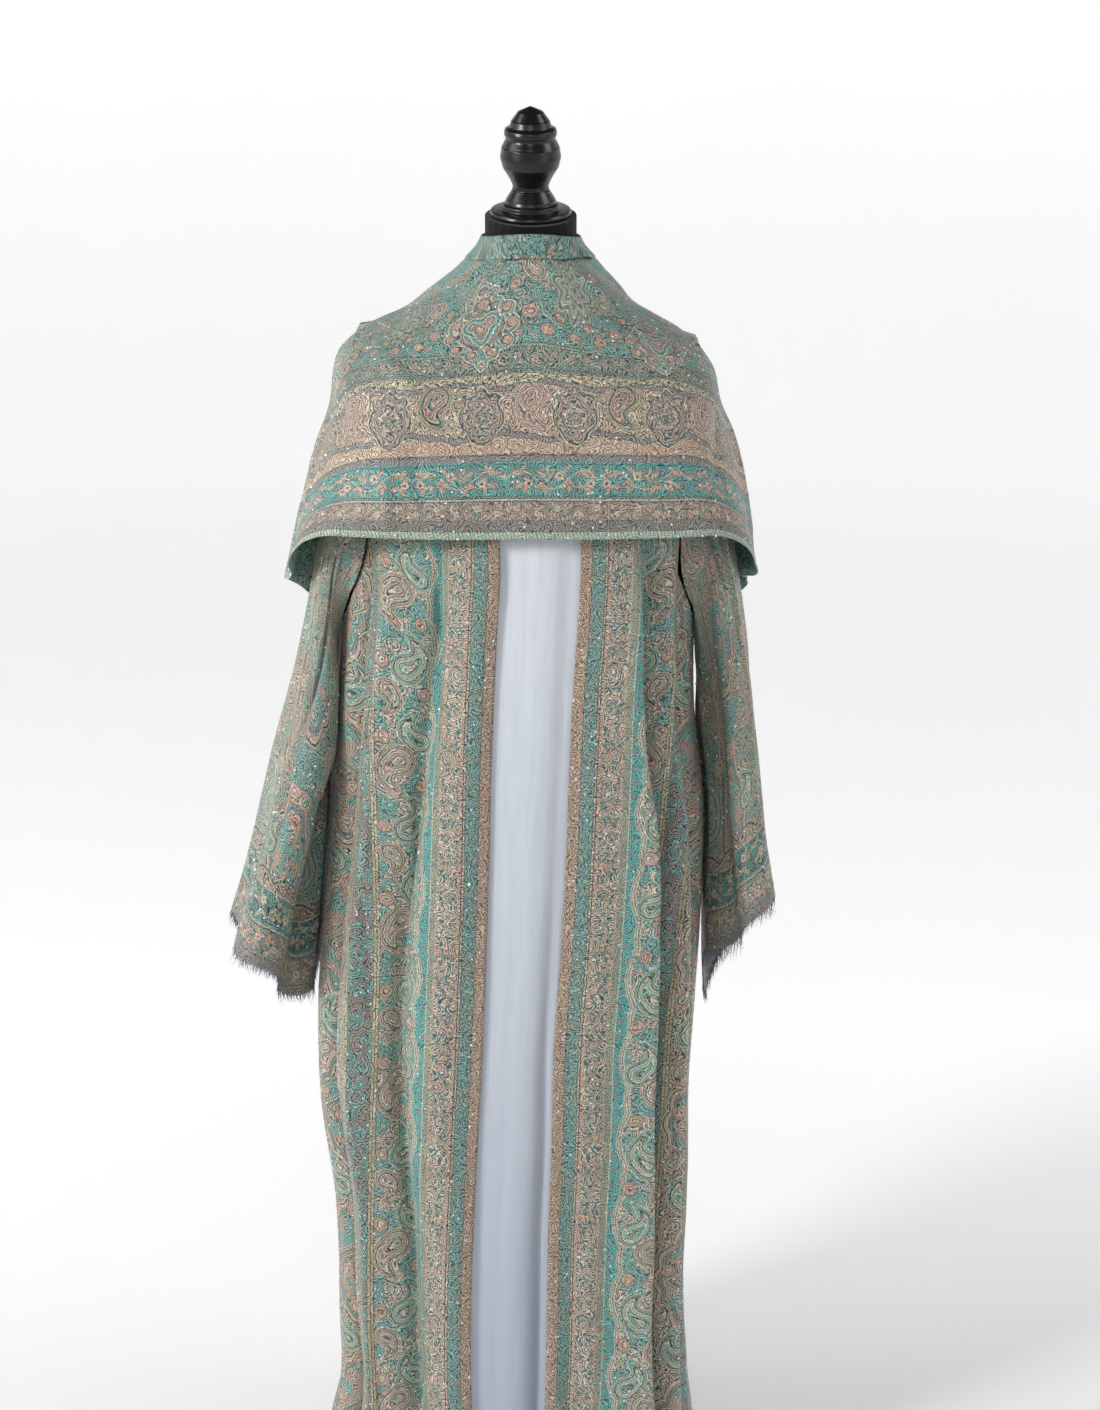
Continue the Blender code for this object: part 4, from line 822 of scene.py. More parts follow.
def lifted(cloth):
    """A cloth's outer face: its points moved out by the wall."""
    grid, out = cloth[:2]
    return grid + out * WEAVE, out


# %% [markdown]
# Large botehs lie on the sleeves, their heads towards the cuff, between lengthwise lanes. The
# borders at the cuff are drawn by the dye recipe from the chart alone.

# %% Make the sleeves
SLEEVE_REPEAT = 0.23  # up the sleeve, and the lanes' spacing round it
SLEEVE_BOTEHS = [
    # u, v, size, turn, curl, tone
    (0.04, 0.06, 0.078, 20, 1, 0.2),
    (0.098, 0.15, 0.064, 195, 1, 0.7),
    (0.03, 0.185, 0.044, -30, -1, 0.9),
    (0.112, 0.04, 0.042, 10, -1, 0.5),
]
SLEEVE_ROSETTES = [(0.07, 0.105, 0.012), (0.075, 0.215, 0.012), (0.01, 0.125, 0.012), (0.14, 0.1, 0.012)]
SLEEVE_LANE = 0.15


def sleeve_marks(u, v):
    """The sleeves' motifs, repeated round and up; the second lane is the first one mirrored."""
    lane = SLEEVE_LANE / 2 - np.abs(np.mod(u, 2 * SLEEVE_LANE) - SLEEVE_LANE)
    lane = np.abs(lane + SLEEVE_LANE / 2)
    up = np.mod(v - 0.125, SLEEVE_REPEAT)
    frames, _ = nearest([lobed(lane, up, SLEEVE_LANE, shift + 0.02, 0.04, 0.07, 10)
                         for shift in (0, SLEEVE_REPEAT)])
    return {**scattered(lane, up, SLEEVE_BOTEHS, SLEEVE_ROSETTES, SLEEVE_REPEAT), "frames": frames}


outside = {name: lifted(cloth) for name, cloth in body.items()}
sleeves = {}
for name, side in (("left", -1), ("right", 1)):
    rows = slice(20, 260)
    facing = [(grid[rows], out[rows]) for grid, out in outside.values()]
    points, normals = skin_of(*facing)
    beside = points[:, 0] * side > 0.08
    sleeves[name] = sleeve_cloth(side, (points[beside], normals[beside]))
    grid, out, u, v = sleeves[name]
    ends = np.concatenate([u, u[:, -1:] + (u[:, -1:] - u[:, -2:-1])], 1)
    tall = np.concatenate([v, v[:, :1]], 1)
    pieces["sleeve_" + name] = make_cloth(
        f"sleeve_{name}_cloth", grid, (ends, tall), sleeve_marks(ends, tall), -side, True
    )


# %% [markdown]
# The wrap's chart measures up from its hem and round from the middle of the front. Over the chest
# the cloth hangs straight, so distances there are its own. Round the sides the spare cloth is
# taken up little by little, which keeps the motifs' shapes over the shoulders.

# %% The wrap's grid
WRAP_ACROSS = 264
WRAP_DOWNS = np.concatenate([
    np.linspace(-TURN_DEPTH, -0.004, 9),
    [-0.0015, -0.0007, 0, 0.0007, 0.0015],
    np.linspace(0.004, WRAP_ROWS[-1][0], 76),
])[:, None]
WRAP_CREASES = [
    # u0, v0, u1, v1, half width, height, bow; v runs up from the hem
    (-300, 190, 300, 192, 1.6, -0.7, 4), (-3, 95, 6, 55, 2.2, -2.2, 1),
    (78, 75, 84, 8, 2.6, 2.2, 2), (90, 66, 94, 4, 2.2, -1.8, 1),
    (-200, 250, -120, 130, 10, 2.2, 12), (-260, 200, -200, 60, 12, -2.4, 10),
    (-140, 120, -120, 10, 9, -1.8, 4), (-170, 85, -170, 0, 7, 2, 3),
    (200, 260, 140, 150, 10, 1.8, -10), (250, 190, 220, 50, 10, -2, -6),
    (-85, 345, -45, 375, 5, 3, 2), (-60, 340, 50, 366, 4, -2.2, -6),
    (55, 345, 100, 330, 6, 2.6, 2), (-110, 320, -150, 270, 6, -2.2, 4),
    (100, 315, 140, 270, 6, -2, -3), (30, 140, 36, 20, 10, 1.2, 2),
    (-340, 230, -320, 30, 12, 3, 8), (340, 240, 330, 30, 12, 3, -8),
    (-480, 260, -500, 20, 12, -3, 4), (480, 260, 500, 20, 12, -3, -4),
    (-620, 240, -660, 20, 12, 2.6, 6), (620, 240, 660, 20, 12, 2.6, -6),
]
WRAP_CREASE_DEPTH = 2.3
WRAP_RIPPLES = [(0.0016, 0.05, 0.05, 120), (0.0004, 0.016, 0.018, 121)]
EASING = 24  # rounds of smoothing
CHART_BLEND = (45, 95)  # degrees from the front, over which the chart takes spare cloth up


def wrap_cloth(skins):
    """The wrap's points, ways out and chart. It is kept off whatever it lies on."""
    angle = np.linspace(WRAP_START, WRAP_END, WRAP_ACROSS + 1)[None, :]
    grid = wrap_point(angle, WRAP_DOWNS)
    steps = np.diff(run_across(grid), axis=1)
    usual = steps[(WRAP_DOWNS[:, 0] > 0.15) & (WRAP_DOWNS[:, 0] < 0.28)].mean(0)
    middles = (angle[:, 1:] + angle[:, :-1]) / 2
    spare = ramp(np.abs(middles), *CHART_BLEND)
    u = np.cumsum(steps * (1 - spare) + usual * spare, 1)
    u = np.concatenate([np.zeros((len(u), 1)), u], 1)
    front = np.argmin(np.abs(angle[0]))
    u = u - u[:, front : front + 1]
    down = run_down(grid)
    v = down[-1:] - down
    height = laid_in(u, v, WRAP_CREASES, WRAP_CREASE_DEPTH, WRAP_RIPPLES)
    grid = grid + ways_out(grid) * (height * ramp(WRAP_DOWNS, 0, 0.02))[..., None]
    resting = WRAP_DOWNS[:, 0] > WRAP_RESTS_FROM
    hung = grid.copy()
    for skin, gap in skins:
        grid[resting] = kept_off(grid[resting], skin, WEAVE / 2 + gap, WRAP_REACH, 1)
    for _ in range(EASING):  # where the cloth is pushed out, its neighbours come along
        moved = grid - hung
        moved[1:-1, 1:-1] = (moved[:-2, 1:-1] + moved[2:, 1:-1] + moved[1:-1, :-2] + moved[1:-1, 2:]) / 4
        grid = hung + moved
    for skin, gap in skins:
        grid[resting] = kept_off(grid[resting], skin, WEAVE / 2 + gap, WRAP_REACH, 1)
    return grid, ways_out(grid), u, v


# %% [markdown]
# The wrap's borders. Ogee medallions stand in a row between botehs, and two large palmettes hang
# from above the chest with a star between them. They are made of the same few distances.

# %% Make the wrap
MEDALLION_STEP, MEDALLION_AT = 0.1065, -0.057
MEDALLION_DISCS = [(0, 140, 21.5), (0, 156, 12), (0, 166, 7), (0, 174, 3),
                   (0, 122, 12.5), (0, 112.5, 5), (0, 108, 1.5),
                   (14, 163, 5), (10.5, 157, 6)]
LOBE_ANGLES = np.radians([-72, -38, -4, 30, 62])
PALMETTE_DISCS = [(0, 206, 8.5), (0, 197.5, 3.5), (0, 256, 32), (0, 296, 16),
                  (13, 308, 9), (0, 320, 12), (0, 334, 5)]
PALMETTE_DISCS += [(34 * math.cos(a), 254 + 36 * math.sin(a), 11) for a in LOBE_ANGLES]
PALMETTE_BOWL = [(10.5, 264, 12.5), (0, 256, 15), (0, 245, 11), (0, 236, 5.5)]


def discs(across, up, rows):
    """Discs at both sides of an axis, joined. A row is a place and a radius in millimetres."""
    rows = np.array(rows) / 1000
    return nearest([np.hypot(np.abs(across) - x, up - y) - radius for x, y, radius in rows])[0]


def centred(u, step, at):
    """The distance round to the nearest of the places that stand a step apart."""
    return np.mod(u - at + step / 2, step) - step / 2


def wrap_marks(u, v):
    """The large motifs' distances at each place of the wrap."""
    medallions = discs(centred(u, MEDALLION_STEP, MEDALLION_AT) * 0.84, v, MEDALLION_DISCS)
    between = centred(u, MEDALLION_STEP, MEDALLION_AT + MEDALLION_STEP / 2)
    which = np.mod(np.round((u - MEDALLION_AT) / MEDALLION_STEP - 0.5), 2)
    drops = boteh(between, v, 0.002, 0.152, 0.043, 176, 1)
    axis = centred(u, 2 * MEDALLION_STEP, MEDALLION_AT)
    palmettes = discs(axis, v, PALMETTE_DISCS)
    bowls = discs(axis, v, PALMETTE_BOWL)
    beside = centred(u, 2 * MEDALLION_STEP, MEDALLION_AT + MEDALLION_STEP)
    star = rosette(beside * 1.25, (v - 0.312) * 0.62, 0, 0, 0.026, 8, 0.22)
    spirals = boteh(np.abs(axis) - 0.062, v, 0, 0.322, 0.03, 10, -1)
    flowers = [rosette(np.abs(axis), v, x, y, radius) for x, y, radius in (
        (0.013, 0.22, 0.0058), (0.031, 0.232, 0.0058), (0.037, 0.252, 0.0058), (0.03, 0.274, 0.0055),
        (0, 0.296, 0.007), (0.056, 0.262, 0.008),
        (0.076, 0.243, 0.007), (0.1065, 0.24, 0.007), (0.09, 0.262, 0.006), (0.04, 0.3, 0.006),
        (0.075, 0.36, 0.008), (0.03, 0.38, 0.008), (0, 0.4, 0.008), (0.055, 0.395, 0.007))]
    return {"drops": np.minimum(drops, spirals), "tone": which, "flowers": nearest(flowers)[0],
            "frames": palmettes, "stars": star, "bowls": bowls, "medallions": medallions}


outside_sleeves = [lifted(cloth) for cloth in sleeves.values()]
under = [(grid[8:180:2], out[8:180:2]) for grid, out in outside.values()]
wrapped = wrap_cloth([
    (skin_of(*under), WRAP_BODY_GAP),
    (skin_of(*[(grid[: SLEEVE_ALONG // 2], out[: SLEEVE_ALONG // 2]) for grid, out in outside_sleeves]),
     WRAP_SLEEVE_GAP),
])
grid, out, u, v = wrapped
pieces["shoulder_wrap"] = make_cloth("shoulder_wrap_cloth", grid, (u, v), wrap_marks(u, v), offset=0)


# %% [markdown]
# The panel in the opening is plain crepe. It hangs a few millimetres behind the front edges, so
# they throw a soft shade on it, and one long fold runs down its right third.

# %% Make the inner panel
PANEL_HEM = 1.572  # down; its top is the abaya's third row
PANEL_GAP_TOP, PANEL_GAP_BELOW = 0.0008, 0.0048  # how far it stands back from the fronts
PANEL_GAP_WIDENS = (0.1, 0.35)  # down, from the one to the other
PANEL_LEAST_DEPTH = 0.12  # the body's reach that the underlap's angle is worked out with, at least
PANEL_FOLDS_DEEPEN = (0.35, 1.5)  # down, from their reach at the chest to that at the hem
PANEL_TOP, PANEL_DOWN, PANEL_ACROSS = 0.095, 300, 44
PANEL_FOLDS = [
    # share of the opening's width, reach at the chest, reach at the hem, half width as a share
    (0.87, -0.003, -0.013, 0.25),
    (0.5, 0.001, 0.003, 0.24),
    (0.735, 0.0004, 0.0016, 0.07),
    (0.1, -0.001, -0.0022, 0.12),
]
CREPE_SOLID = 0.0012


def panel_cloth():
    """The panel follows the fronts' inner faces at a distance, and waves inward between them."""
    downs = np.linspace(PANEL_TOP, PANEL_HEM, PANEL_DOWN + 1)[:, None]
    left, right = edge_angle(downs, -1), edge_angle(downs, 1)
    depth = eased(BODY_ROWS, BODY_COLUMNS, "front", downs)
    under = np.degrees(PANEL_UNDERLAP / np.maximum(depth, PANEL_LEAST_DEPTH))
    share = np.linspace(0, 1, PANEL_ACROSS + 1)[None, :]
    angle = (left - under) + (right - left + 2 * under) * share
    opening = np.clip((angle - left) / (right - left), 0, 1)
    wave = np.zeros(angle.shape)
    for centre, chest, hem, half in PANEL_FOLDS:
        reach = chest + (hem - chest) * ramp(downs, *PANEL_FOLDS_DEEPEN)
        wave = wave + reach * hump(opening - centre, half, half)
    behind = PANEL_GAP_TOP + (PANEL_GAP_BELOW - PANEL_GAP_TOP) * ramp(downs, *PANEL_GAP_WIDENS)
    grid = body_point(angle, downs, wave - CREPE_SOLID - behind)
    s = run_across(grid)
    s = s - s[:, PANEL_ACROSS // 2, None]
    return grid, ways_out(grid), s, np.broadcast_to(downs, s.shape)


panel = panel_cloth()
pieces["inner_panel"] = make_cloth("inner_panel_cloth", panel[0], panel[2:], {}, wall=CREPE)


# %% [markdown]
# Dyes. A jacquard shows one of a few yarns at every crossing, so the whole pattern comes from a
# short list of yarn colours. They are named as a weaver would ask for them, written as they look
# on screen, and turned into the light values that a shader counts in.

# %% Name the yarns


def dye(red, green, blue):
    """Screen values from 0 to 255 as linear light: the standard curve, undone."""
    screen = np.array([red, green, blue]) / 255
    light = np.where(screen <= 0.04045, screen / 12.92, ((screen + 0.055) / 1.055) ** 2.4)
    return (*[float(x) for x in light], 1)


TURQUOISE = dye(48, 174, 174)
LAGOON = dye(100, 190, 186)
TEAL = dye(34, 126, 128)
DEEP_TEAL = dye(22, 98, 100)
SEA_GREY = dye(122, 152, 150)
SMOKE = dye(144, 136, 140)
SLATE = dye(98, 94, 102)
PEWTER = dye(104, 112, 108)
MAUVE = dye(150, 116, 126)
CLAY = dye(176, 148, 134)
SALMON = dye(222, 176, 152)
BLUSH = dye(236, 208, 188)
CREAM = dye(226, 218, 190)
STRAW = dye(196, 184, 148)
REED = dye(164, 180, 158)
OLIVE = dye(112, 112, 90)
BARK = dye(92, 80, 78)
SHADE = dye(66, 76, 80)

# %% [markdown]
# A shader is a small factory of numbers. To write its sums as plain expressions, one class wraps
# a socket and turns +, -, *, / into Math nodes, and another adds any other node in one call.

# %% Write shader sums as expressions


def operation(kind):
    """A method that puts a wire and other values into one Math node."""
    return lambda wire, *others: wire.recipe.node("ShaderNodeMath", {"operation": kind}, [wire, *others])


class Wire:
    """A node's output that can stand in an expression."""

    def __init__(self, recipe, socket):
        self.recipe, self.socket = recipe, socket

    __add__ = __radd__ = operation("ADD")
    __mul__ = __rmul__ = operation("MULTIPLY")
    __sub__, __mod__, __abs__ = operation("SUBTRACT"), operation("FLOORED_MODULO"), operation("ABSOLUTE")
    sine, whole, power, arc = operation("SINE"), operation("FLOOR"), operation("POWER"), operation("ARCTAN2")
    below, above = operation("LESS_THAN"), operation("GREATER_THAN")
    least, most = operation("MINIMUM"), operation("MAXIMUM")

    def __rsub__(self, other):
        return self.recipe.node("ShaderNodeMath", {"operation": "SUBTRACT"}, [other, self])

    def within(self, low, high):
        """1 between low and high, and 0 elsewhere."""
        return abs(self - (low + high) / 2).below((high - low) / 2)


class Recipe:
    """A material being mixed. node() takes a type, its settings, and its sockets' values or wires."""

    def __init__(self, name):
        self.material = bpy.data.materials.new(name)
        self.material.use_nodes = True
        self.tree = self.material.node_tree
        self.shader = self.tree.nodes["Principled BSDF"]

    def put(self, socket, value):
        if isinstance(value, Wire):
            self.tree.links.new(value.socket, socket)
        else:
            socket.default_value = value

    def node(self, kind, settings=None, inputs=(), output=0):
        made = self.tree.nodes.new(kind)
        for name, value in (settings or {}).items():
            setattr(made, name, value)
        for name, value in inputs.items() if isinstance(inputs, dict) else enumerate(inputs):
            self.put(made.inputs[name], value)
        return Wire(self, made.outputs[output])

    def mix(self, share, first, second, blend="MIX"):
        """The second colour over the first, by its share."""
        settings = {"data_type": "RGBA", "blend_type": blend}
        return self.node("ShaderNodeMix", settings, {0: share, 6: first, 7: second}, 2)

    def steps(self, value, stops, low=0, high=1, smooth=False):
        """A colour that changes at each stop: the stops are places from low to high with a colour."""
        made = self.tree.nodes.new("ShaderNodeValToRGB")
        made.color_ramp.interpolation = "LINEAR" if smooth else "CONSTANT"
        elements = made.color_ramp.elements
        while len(elements) < len(stops):
            elements.new(0.5)
        for element, (place, colour) in zip(elements, stops):
            element.position = min(max((place - low) / (high - low), 0), 1)
            element.color = colour
        self.put(made.inputs[0], (value - low) * (1 / (high - low)))
        return Wire(self, made.outputs[0])

    def chart(self):
        """The cloth's own distances, across and along."""
        uv = self.node("ShaderNodeUVMap", {"uv_map": "cloth"})
        parts = self.node("ShaderNodeSeparateXYZ", {}, [uv])
        return parts, Wire(self, parts.socket.node.outputs[1]), uv

    def marks(self, names):
        """Some of the distances that the cloth's mesh carries."""
        return [self.node("ShaderNodeAttribute", {"attribute_name": name}, (), 2) for name in names.split()]

    def at(self, across, along):
        return self.node("ShaderNodeCombineXYZ", {}, [across, along])

    def noise(self, place, scale, detail=1):
        settings = {"noise_dimensions": "2D"}
        return self.node("ShaderNodeTexNoise", settings, {"Vector": place, "Scale": scale, "Detail": detail})

    def cells(self, place, scale):
        settings = {"voronoi_dimensions": "2D", "feature": "F1"}
        return self.node("ShaderNodeTexVoronoi", settings, {"Vector": place, "Scale": scale})

    def space(self):
        """Places in the object's own space."""
        return self.node("ShaderNodeTexCoord", {}, (), 3)

    def cloud(self, place, scale, detail):
        """Noise in that space."""
        return self.node("ShaderNodeTexNoise", {}, {"Vector": place, "Scale": scale, "Detail": detail})

    def finish(self, colour, roughness, height, lift, sheen=0, specular=0.4):
        """Join colour, roughness and a raised weave to the shader."""
        for name, value in (("Base Color", colour), ("Roughness", roughness), ("Sheen Weight", sheen),
                            ("Specular IOR Level", specular)):
            self.put(self.shader.inputs[name], value)
        if height is not None:
            bump = {"Height": height, "Distance": lift, "Strength": 1}
            self.put(self.shader.inputs["Normal"], self.node("ShaderNodeBump", {}, bump))
        print("dyed:", self.material.name, "with", len(self.tree.nodes), "nodes")
        return self.material


# %% [markdown]
# Fine figures. Up close no part of such a cloth is one flat colour: hair lines of two yarns run
# round the motifs over a darker ground, dotted with teal. The lines come from the motif's distance,
# bent by a little noise and cut into stripes. Between the motifs, the middles of uneven cells serve
# as seeds, so that the lines close into small rosettes there.

# %% Draw the hair lines
YARN = 0.00125  # the width of one figure thread
HATCH, HATCH_SHARE = 0.0031, 0.27  # from one hair line to the next, and half its share of that
SEEDS, SEED_RADIUS = 46, 0.0045  # seeds in a metre, and the size of their middles
DEEP, CLEAR = -0.036, 0.006  # how far inside a motif, and outside it, its bands of colour are stated
LEAVES, LEAF_SIZE = 185, 0.19  # the ground's small leaves: how many in a metre, and their size


def hatch(recipe, place, distance):
    """1 on hair lines that follow the motifs and seeds: stripes of the nearest distance, bent."""
    seeds = recipe.cells(place, SEEDS) * (1 / SEEDS) - SEED_RADIUS
    phase = distance.least(seeds) * (1 / HATCH) + recipe.noise(place, 120) * 2.8
    return abs(phase % 1 - 0.5).below(HATCH_SHARE)


def bands(*rows):
    """Colours over a distance: each begins at a place in millimetres."""
    return [(place / 1000, yarn) for place, yarn in rows]


def rings(yarns, outer=0.003, width=0.0016, count=24):
    """Outlines inside outlines: narrow bands of a few yarns in turn, from the outer one inwards."""
    return [(outer - (index + 1) * width, yarns[index % len(yarns)]) for index in range(count)][::-1]


def strands(recipe, place, first, second):
    """Two yarns that take turns in patches a few centimetres wide."""
    return recipe.mix(recipe.noise(place, 34, 2).above(0.5), first, second)


def dots(recipe, place, under, scale, yarn, rim, size=0.24):
    """Small leaves of one yarn in a darker rim, at the middles of uneven cells."""
    far = recipe.cells(place, scale)
    return recipe.mix(far.below(size), recipe.mix(far.below(size * 1.5), under, rim), yarn)


def threads(recipe, across, along):
    """A light and dark grain, one value for each crossing of two threads."""
    cell = recipe.at((across * (1 / YARN)).whole(), (along * (1 / YARN)).whole())
    return recipe.node("ShaderNodeTexWhiteNoise", {"noise_dimensions": "2D"}, {"Vector": cell})


# %% [markdown]
# Vines, sprigs and small flowers are drawn once and repeated along their lane.

# %% Draw the small figures


def leaf(across, along, x, y, turn, long, wide):
    """1 inside an oval leaf, turned about its middle."""
    cosine, sine = math.cos(math.radians(turn)), math.sin(math.radians(turn))
    one = (across - x) * (cosine / long) + (along - y) * (sine / long)
    two = (along - y) * (cosine / wide) - (across - x) * (sine / wide)
    return (one * one + two * two).below(1)


def vine(across, along, pitch, swing, width):
    """1 on a stem that swings to and fro."""
    stem = (along * (2 * math.pi / pitch)).sine() * swing
    return abs(across - stem).below(width / 2)


def alternate(across, along, pitch):
    """Fold a lane so that one half repeat, drawn once, comes again mirrored in the next half."""
    half = pitch / 2
    flip = 1 - 2 * ((along * (1 / pitch)) % 1).above(0.5)
    return across * flip, (along % half) - half / 2


SPRIG_LEAVES = [
    # place across and along, as shares of reach and pitch, turn, length and width, as shares of reach
    (0.35, 0.05, 60, 0.36, 0.12), (0.1, -0.1, -35, 0.34, 0.1), (0.62, -0.07, 10, 0.24, 0.12),
    (-0.72, -0.02, 40, 0.3, 0.12), (-0.45, 0.12, 100, 0.34, 0.13),
]


def sprigs(across, along, pitch, reach):
    """Leaves on each half repeat of a lane."""
    x, y = alternate(across, along, pitch)
    leaves = [leaf(x, y, out * reach, up * pitch, turn, long * reach, wide * reach)
              for out, up, turn, long, wide in SPRIG_LEAVES]
    shape = leaves[0]
    for other in leaves[1:]:
        shape = shape.most(other)
    return shape


def buds(across, along, pitch, reach, radius):
    """A round flower on each half repeat, and its eye."""
    x, y = alternate(across, along, pitch)
    far = ((x - reach) * (x - reach) + y * y).power(0.5)
    angle = y.arc(x - reach)
    petals = ((angle * 6).sine() * 0.16 + 1) * radius
    return far.below(petals), far.below(radius * 0.38)


def scroll_lane(recipe, under, lane, along, inside, pitch, reach, stem, leaves, petals, eyes):
    """A lane's running scroll: a swinging stem, leaves beside it and a flower at each turn."""
    colour = recipe.mix(vine(lane, along, pitch, reach * 0.6, 0.0013) * inside, under, stem)
    colour = recipe.mix(sprigs(lane, along, pitch * 0.7, reach) * inside, colour, leaves)
    bloom, eye = buds(lane, along + pitch / 8, pitch, -0.25 * reach, reach * 0.28)
    return recipe.mix(eye * inside, recipe.mix(bloom * inside, colour, petals), eyes)


def scrolls(recipe, colour, across, runs, rows):
    """Running scrolls, each in its own lane.

    A row is which of the runs it follows, then in millimetres the lane's middle and two edges, the
    pitch and the reach, and then the yarns of the stem, leaves, petals and eyes.
    """
    for run, *sizes in rows:
        middle, low, high, pitch, reach = [size / 1000 for size in sizes[:5]]
        colour = scroll_lane(recipe, colour, across - middle, runs[run], across.within(low, high),
                             pitch, reach, *sizes[5:])
    return colour


def hair_lines(recipe, under, across, lines):
    """Single threads. A row is a thread's distance across and its width, in millimetres."""
    for at, width, yarn in lines:
        under = recipe.mix(abs(across - at / 1000).below(width / 2000), under, yarn)
    return under


def outlined(recipe, under, distance, stops, outer):
    """Lay a motif over the ground: bands of colour by the distance from its edge."""
    return recipe.mix(distance.below(outer), under, recipe.steps(distance, stops, DEEP, outer + 0.002))


def banded(recipe, value, rows, high):
    """A table's four columns of yarns, each as colours over a distance in millimetres."""
    return [recipe.steps(value, bands(*[(row[0], row[column]) for row in rows]), 0, high)
            for column in (1, 2, 3, 4)]


WARM_RINGS = rings([BLUSH, SMOKE, SALMON, DEEP_TEAL, CREAM, SEA_GREY])
COOL_RINGS = rings([CREAM, TURQUOISE, REED, DEEP_TEAL, BLUSH, LAGOON])
STAR_RINGS = rings([BLUSH, SEA_GREY, DEEP_TEAL, CREAM, LAGOON], width=0.0024, count=15)
ROSETTE_BANDS = bands((-36, LAGOON), (-9.4, BLUSH), (-8.2, TEAL), (-7, BLUSH), (-5.8, CREAM),
                      (-4.8, MAUVE), (-3.4, SALMON), (0, DEEP_TEAL))
FRAME_BANDS = bands((-36, SEA_GREY), (-24, BLUSH), (-22.6, TEAL), (-21, SMOKE), (-14, BLUSH),
                    (-12.8, TEAL), (-11.2, SEA_GREY), (-8.8, SMOKE), (-5.8, BLUSH), (-4.6, SALMON),
                    (-3.2, BLUSH), (-1.8, DEEP_TEAL), (0.4, BLUSH), (1.8, SMOKE))


def figured(recipe, colour, inside, drops, flowers, tone):
    """Botehs in warm or cool yarns, and rosettes, laid over the ground."""
    drop = recipe.mix(tone.above(0.5), recipe.steps(drops, COOL_RINGS, DEEP, CLEAR),
                      recipe.steps(drops, WARM_RINGS, DEEP, CLEAR))
    colour = recipe.mix(inside * drops.below(0.0026), colour, drop)
    rosettes = recipe.steps(flowers, ROSETTE_BANDS, DEEP, CLEAR)
    return recipe.mix(inside * flowers.below(0.0012), colour, rosettes)


# %% [markdown]
# The body's jacquard, lane by lane from the free edge: a speckled selvage, teal sprigs on pale
# grey-green, dark hair lines, a salmon scroll, a plain reed stripe, a turquoise stripe with a
# scalloped edge, the wide field of botehs, a dark filler between cream stripes, and the salmon
# lane with its lobed frames. Each lane has a ground yarn, two yarns for its lines and one for dots.

# %% Dye the body
LANES = [
    (0, SMOKE, SALMON, BLUSH, OLIVE),
    (14, SEA_GREY, REED, LAGOON, TEAL),
    (30, SMOKE, BLUSH, CREAM, SALMON),
    (37, SEA_GREY, SALMON, BLUSH, TEAL),
    (64, REED, SEA_GREY, REED, REED),
    (74, TURQUOISE, LAGOON, TURQUOISE, SMOKE),
    (86, SEA_GREY, LAGOON, BLUSH, TEAL),
    (160, STRAW, CREAM, STRAW, OLIVE),
    (168, PEWTER, SMOKE, LAGOON, TURQUOISE),
    (198, STRAW, CREAM, STRAW, OLIVE),
    (206, PEWTER, SALMON, CREAM, TEAL),
]
LANE_LINES = [
    (14.2, 1, BARK), (30.2, 1, DEEP_TEAL), (33.5, 1.5, BARK), (37.2, 1.1, SALMON),
    (63.6, 1.2, SALMON), (73.8, 1.3, CREAM), (160.2, 1.1, BARK), (164.2, 1, BARK),
    (168, 1, OLIVE), (198.2, 1, OLIVE), (202.2, 1, BARK), (206.2, 1.1, BARK),
]
RIB = 0.0025  # from one rib of the reed stripe to the next
LANE_SCROLLS = [
    (0, 22, 15, 29, 46, 8.5, SEA_GREY, TEAL, TURQUOISE, BLUSH),
    (0, 50.5, 38, 63, 74, 12.5, SALMON, TEAL, SALMON, TURQUOISE),
    (0, 183, 169, 197, 60, 13.5, SALMON, MAUVE, TURQUOISE, BLUSH),
]
SCALLOP_BANDS = bands((-2, CREAM), (-0.4, TURQUOISE), (0.8, BLUSH), (3, DEEP_TEAL),
                      (4, CREAM), (6, LAGOON))
TONGUE_BANDS = rings([BLUSH, DEEP_TEAL, CREAM, SMOKE, SEA_GREY, SLATE], 0.0016, 0.0013, 18)


